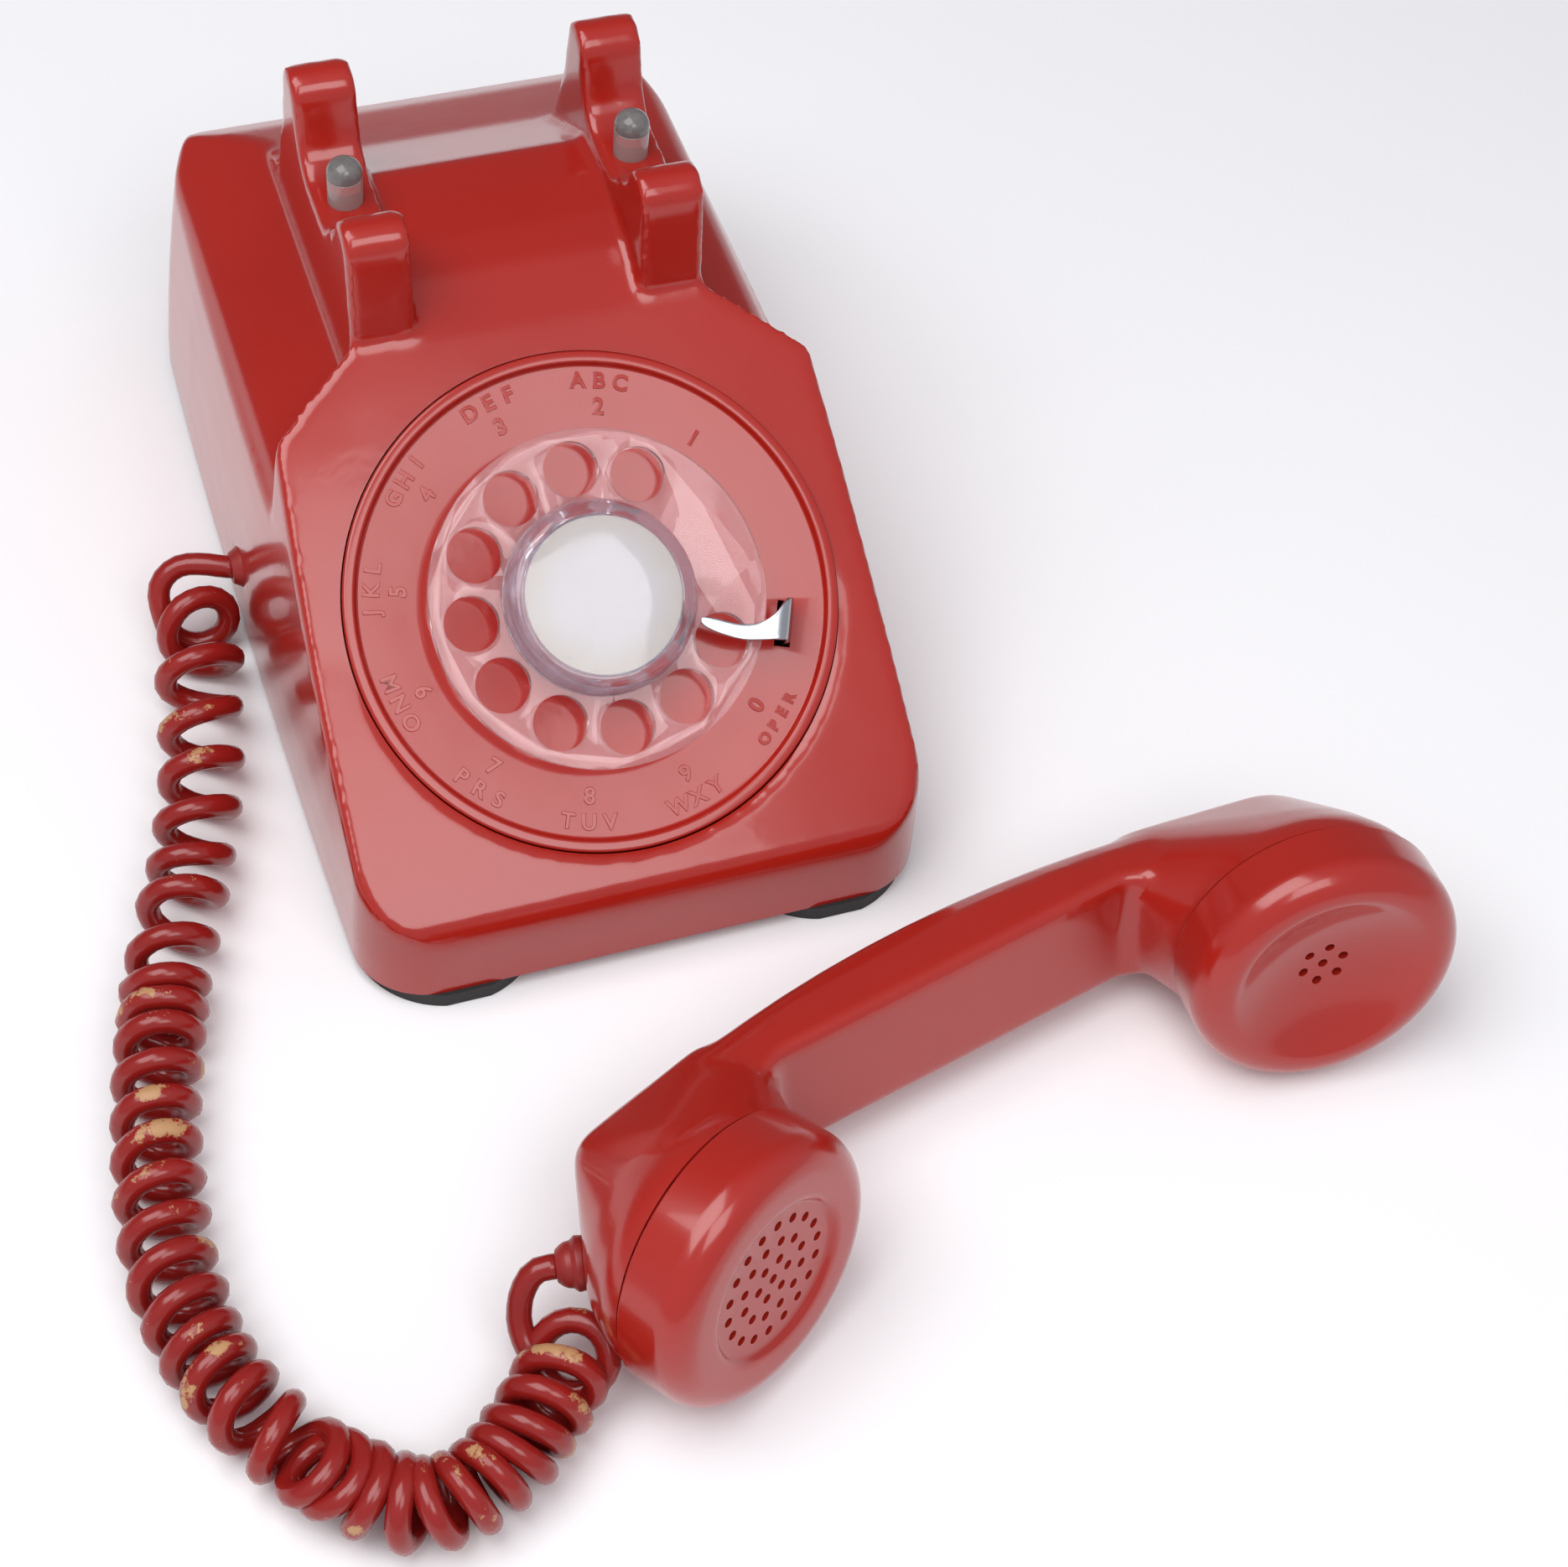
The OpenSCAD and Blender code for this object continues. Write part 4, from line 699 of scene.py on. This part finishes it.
# from the foot up and in to the tip: the strip's distance from the dial's middle and its
# height, half its width, and how far its middle is swept aside
strip_line = [(44.3, -6.5), (44.2, -2), (43.6, 3), (42.6, 7.0), (41.2, 8.6), (39.0, 8.8),
              (36, 8.4), (32, 8.0), (27, 7.8), (22.6, 7.5)]
strip_half = [4.6, 4.6, 4.7, 4.8, 4.5, 3.0, 2.0, 1.7, 1.5, 1.3]
strip_sweep = [0, 0, 0, 0, -0.5, -2.2, -3.6, -4.2, -3.6, -2.6]
bpy.ops.object.select_all(action="DESELECT")
bpy.ops.mesh.primitive_grid_add(x_subdivisions=36, y_subdivisions=6, size=2)
finger_stop = bpy.context.object
finger_stop.name = "finger_stop"
for v in finger_stop.data.vertices:
    t = (v.co.x + 1) / 2 * (len(strip_line) - 1)
    i = min(int(t), len(strip_line) - 2)
    r, h = between(strip_line, i, t - i)
    half = between([(w, 0) for w in strip_half], i, t - i)[0]
    near_tip = max(0.0, t - (len(strip_line) - 2))
    half *= math.sqrt(max(0.05, 1 - near_tip ** 2 * 0.8))
    sweep = between([(w, 0) for w in strip_sweep], i, t - i)[0]
    v.co = (r * MM, (v.co.y * half + sweep) * MM, h * MM)
add_modifier(finger_stop, "SOLIDIFY", thickness=1.0 * MM, offset=0)
add_modifier(finger_stop, "BEVEL", width=0.25 * MM, segments=2, limit_method="ANGLE",
             angle_limit=math.radians(50))
only(finger_stop)
bpy.ops.object.mode_set(mode="EDIT")
bpy.ops.mesh.select_all(action="SELECT")
bpy.ops.mesh.normals_make_consistent(inside=False)
bpy.ops.object.mode_set(mode="OBJECT")
finger_stop.data.transform(dial_place @ Matrix.Rotation(math.radians(stop_clock), 4, "Z"))
smooth_by_angle(finger_stop, 45)
dress(finger_stop, chrome_look("chromium plate", "#B4B7BC", 0.18), "base", "chrome",
      "finger_stop")

# ---------------------------------------------------------------- cradle plungers
# Clear acrylic rods that drop through the saddle's troughs, each with a smoky domed
# tip that the handset presses on.

smoke_tip, tree, shader = new_material("smoky grey acrylic tip", IOR=1.49, Roughness=0.12,
                                       Transmission_Weight=0.35)
dust = add_node(tree, "ShaderNodeTexNoise", Scale=600.0, Detail=3.0,
                Vector=add_node(tree, "ShaderNodeTexCoord").outputs["Object"])
tone = add_node(tree, "ShaderNodeMix", {"data_type": "RGBA"}, in0=dust.outputs["Fac"],
                in6=srgb("#6A6666"), in7=srgb("#9A9593"))
tree.links.new(tone.outputs[2], shader.inputs["Base Color"])
clear_rod = clear_plastic("clear acrylic rod", "#EFE0DE", 0.08, 0.8)
tip_low, tip_high = 115.9, 120.3
plunger_r, dome_h = 4.0, 3.4
dome = [(plunger_r * math.cos(math.radians(a)),
         tip_high - dome_h + dome_h * math.sin(math.radians(a))) for a in range(0, 91, 10)]
for sign, label in ((-1, "left"), (1, "right")):
    place = at(sign * plunger_x, plunger_y, 0)
    stem = turned("plunger_" + label,
                  rounded([(0, 93.6), (1.6, 93.6), (1.6, 94.6), (plunger_r, 94.6),
                           (plunger_r, tip_low - 0.02), (0, tip_low - 0.02)], 0.3), place, 48)
    tip = turned("plunger_tip_" + label,
                 [(0, tip_low), (3.7, tip_low), (plunger_r, tip_low + 0.3)] + dome, place, 48)
    smooth_by_angle(stem, 40)
    smooth_by_angle(tip, 40)
    dress(stem, clear_rod, "plunger_" + label, "smoke_plastic", "plunger_" + label)
    dress(tip, smoke_tip, "plunger_" + label, "smoke_plastic")

# ---------------------------------------------------------------- handset handle
# A heavy hollow moulding that swells into a cup at each end, its inner face flat with
# a crisp edge. It was painted in one piece with its caps on.

cap_half, cap_tip, seam = 72.0, 17.5, -17.0
cup_r = 23
cap_places = {-1: handset_place @ at(-cap_half, 0, 0, ry=cap_tip),
              1: handset_place @ at(cap_half, 0, 0, ry=-cap_tip)}
handle = copy_of("handset_handle", "handle")
plugs = []
for place in cap_places.values():
    plugs += [rod("plug", cup_r + 1, seam - 9.5, seam + 10, place),
              rod("plug", 30.0, seam - 2, seam + 8, place)]
plugs.append(rod("plug", 4.5, -6, 0, collar_place, 32))
# the wire passage would come out through the back behind each cup, so it is filled there
# by an oval plug of the same section as the handle's back
oval = Matrix.Diagonal((0.518, 1, 1, 1))
for sign in (-1, 1):
    passage = handset_place @ at(sign * 57, 0, -47.87, ry=sign * 76.2) @ oval
    plugs.append(rod("plug", 15, 0, 16.4, passage, 64))
handle = sprayed(joined([handle] + plugs), 0.85, 34, 0.6)
handle.name = "handset_handle"
# under each cap a threaded collar stands up from the seam, round the cup
over_seam = [(26, seam), (29.9, seam), (30.4, seam - 0.35), (45, seam - 0.35), (45, 25), (26, 25)]
for place in cap_places.values():
    cut(handle, turned("seam", over_seam, place, 128),
        rod("above the collar", 27, seam + 6, 25, place), rod("cup", cup_r, seam - 9, 20, place))
cut(handle, rod("collar hole", 3.6, -8, 6, collar_place, 32))
smooth_by_angle(handle, 35)
handset_paint = red_paint("glossy red enamel on the handset", "#AE2419", "#9C1B13", 0.2, 0.975)
dress(handle, handset_paint, "handset", "painted_case", "handset_handle")

# ---------------------------------------------------------------- caps
# Screw-on caps with rounded rims: a flat grille to speak into, and a dish with seven
# holes for the ear. The holes were drilled in the mould, so the paint bridges none.


def cap_outline(face):
    """The section of a cap whose middle is face, from the axis out to the skirt."""
    cap_r, rim_r = 31, 7
    rim = [(cap_r - rim_r + rim_r * math.cos(math.radians(a)),
            -rim_r + rim_r * math.sin(math.radians(a))) for a in range(90, -1, -6)]
    return face + rim + [(cap_r, -14), (cap_r, -15.8), (30.6, -16.2), (26.3, -16.2), (26.3, -10),
                         (25, -9.5)]


def grille(place, depth, rings):
    """Drills for rings of holes, each given as its count, radius and starting angle."""
    drill_r = 1.12
    tools = []
    for count, radius, offset in rings:
        for i in range(count):
            a = math.radians(offset + 360 * i / count)
            drill_place = place @ at(radius * math.cos(a), radius * math.sin(a), 0)
            tools.append(rod("hole", drill_r, -depth, 3, drill_place, 16))
    return joined(tools)


tan_board, tree, shader = new_material("unpainted tan board", Roughness=0.7)
fleck = add_node(tree, "ShaderNodeTexNoise", Scale=800.0, Detail=3.0,
                 Vector=add_node(tree, "ShaderNodeTexCoord").outputs["Object"])
tone = add_node(tree, "ShaderNodeMix", {"data_type": "RGBA"}, in0=fleck.outputs["Fac"],
                in6=srgb("#7A452A"), in7=srgb("#AD7A50"))
tree.links.new(tone.outputs[2], shader.inputs["Base Color"])
speak_face = [(0, -1.5), (8, -1.5), (17.0, -1.5), (17.6, -1.4), (18.1, -1.0), (18.5, -0.4),
              (19.1, -0.08), (20.2, 0.0)]
speak_cap = turned("transmitter_cap", cap_outline(speak_face) + [(21, -2.6), (0, -2.6)],
                   cap_places[-1], 144)
cut(speak_cap, grille(cap_places[-1], 6, [(18, 14, 0), (12, 9.2, 10), (6, 4.6, 0), (1, 0, 0)]))
dish_r, dish_depth = 22.6, 6.4
dish_ball = (dish_r ** 2 + dish_depth ** 2) / 2 / dish_depth
ear_face = [(r, dish_ball - dish_depth - math.sqrt(dish_ball ** 2 - r * r))
            for r in [i * 1.25 for i in range(18)]] + [(22.4, -0.3), (23.0, -0.06)]
ear_cap = turned("receiver_cap", cap_outline(ear_face) + [(22, -8.4), (0, -8.4)],
                 cap_places[1], 144)
cut(ear_cap, grille(cap_places[1], 11, [(6, 4.75, 15), (1, 0, 0)]))
# bare tan board behind the holes
board_t = 0.6
for name, end, radius, face in (("transmitter_baffle", -1, 17, -2.65),
                                ("receiver_baffle", 1, 9, -8.45)):
    baffle = turned(name, [(0, face), (radius, face), (radius, face - board_t),
                           (0, face - board_t)], cap_places[end], 48)
    smooth_by_angle(baffle, 35)
    dress(baffle, tan_board, "handset", "painted_case")
for o, node_name in ((speak_cap, "transmitter_cap"), (ear_cap, "receiver_cap")):
    smooth_by_angle(o, 35)
    dress(o, handset_paint, "handset", "painted_case", node_name)

# ---------------------------------------------------------------- feet and underside
# Four moulded rubber corner feet push into the plated steel base plate, which closes
# the case from below.


def tinted(name, dark, light, scale, rough, spread=0.15, bump=0.0, **shader_values):
    """A surface whose colour and gloss vary between two tones at one grain size, with a
    bump in mm if it has any."""
    m, tree, shader = new_material(name, **shader_values)
    place = add_node(tree, "ShaderNodeTexCoord").outputs["Object"]
    grain = add_node(tree, "ShaderNodeTexNoise", Vector=place, Scale=scale, Detail=4.0)
    tone = add_node(tree, "ShaderNodeMix", {"data_type": "RGBA"}, in0=grain.outputs["Fac"],
                    in6=srgb(dark), in7=srgb(light))
    gloss = add_node(tree, "ShaderNodeMapRange", Value=grain.outputs["Fac"], To_Min=rough,
                     To_Max=rough + spread)
    tree.links.new(tone.outputs[2], shader.inputs["Base Color"])
    tree.links.new(gloss.outputs[0], shader.inputs["Roughness"])
    if bump:
        relief = add_node(tree, "ShaderNodeBump", Strength=0.5, Distance=bump * MM,
                          Height=grain.outputs["Fac"])
        tree.links.new(relief.outputs[0], shader.inputs["Normal"])
    return m


def coat(material, *names):
    """Gives CAD nodes that are kept as they are their real surface."""
    for name in names:
        o = nodes[name]
        if not o.material_slots:
            o.data.materials.append(material)
        for s in o.material_slots:
            s.material = material


foot_rubber = tinted("matt black rubber", "#1D1D1E", "#2E2D2E", 700.0, 0.62, 0.2, 0.05)
coat(foot_rubber, "foot_front_left", "foot_front_right", "foot_rear_left", "foot_rear_right",
     "line_cord_inlet")
zinc = tinted("zinc-plated pressed steel", "#8E9092", "#B7B8B6", 160.0, 0.28, 0.2, Metallic=1.0)
coat(zinc, "base_plate", "case_screws", "ringer_frame", "gong_screws", "hook_bracket",
     "dial_bracket", "dial_front_plate", "dial_rear_plate", "governor_cup")

# ---------------------------------------------------------------- dial movement
# Stamped brass wheels on ground steel shafts between two plates, with a coil spring
# that winds as the wheel is turned and a small governor that holds its speed.

ground_steel = tinted("ground steel", "#9A9C9F", "#C4C5C6", 600.0, 0.18, 0.14, Metallic=1.0)
coat(ground_steel, "dial_shaft", "pulse_shaft", "governor_shaft", "hook_pin", "wheel_clamp",
     "hook_lever")
brass = tinted("stamped brass", "#A8843A", "#C9A552", 220.0, 0.25, 0.2, Metallic=1.0)
coat(brass, "dial_pillars", "dial_screw", "main_gear", "pulse_wheel", "governor_weights",
     "gong_low", "gong_high", "network_screws")
spring_wire = tinted("drawn spring steel wire", "#5E6266", "#86898C", 900.0, 0.3, 0.15,
                     Metallic=1.0)
coat(spring_wire, "mainspring", "hook_spring")
contact_metal = tinted("nickel silver contact springs", "#B39A62", "#CDB98A", 500.0, 0.25, 0.15,
                       Metallic=1.0)
coat(contact_metal, "pulse_contacts", "hook_contacts")

# ---------------------------------------------------------------- bell and network
# A varnished winding on a soft-iron core rocks the clapper between two brass gongs; the
# network is a sealed black moulding.

winding, tree, shader = new_material("varnished copper winding", Roughness=0.35, IOR=1.5)
rows = add_node(tree, "ShaderNodeTexWave", {"wave_type": "BANDS", "bands_direction": "X"},
                Vector=add_node(tree, "ShaderNodeTexCoord").outputs["Object"], Scale=330.0,
                Distortion=0.4)
tone = add_node(tree, "ShaderNodeMix", {"data_type": "RGBA"}, in0=rows.outputs["Fac"],
                in6=srgb("#43200F"), in7=srgb("#8A4A22"))
relief = add_node(tree, "ShaderNodeBump", Strength=0.5, Distance=0.0002, Height=rows.outputs["Fac"])
tree.links.new(tone.outputs[2], shader.inputs["Base Color"])
tree.links.new(relief.outputs[0], shader.inputs["Normal"])
coat(winding, "ringer_coil")
soft_iron = tinted("blued soft iron", "#4A4D50", "#6B6E70", 300.0, 0.4, 0.2, 0.03, Metallic=1.0)
coat(soft_iron, "ringer_core", "clapper")
phenolic = tinted("black phenolic moulding", "#1C1A19", "#2C2826", 400.0, 0.35, 0.2, 0.02, IOR=1.6)
coat(phenolic, "network_block", "contact_cup", "volume_wheel")

# ---------------------------------------------------------------- handset inside
# Pressed alloy capsules behind the caps, joined by two insulated wires that run through
# the passage in the handle.

pressed_alloy = tinted("pressed aluminium capsule", "#9C9A94", "#C6C3BC", 350.0, 0.3, 0.2,
                       Metallic=1.0)
coat(pressed_alloy, "transmitter_capsule", "receiver_capsule")
insulation = tinted("cream cotton-covered wire", "#B9B29E", "#D8D2C0", 1400.0, 0.7, 0.15, 0.05)
coat(insulation, "handset_wires")
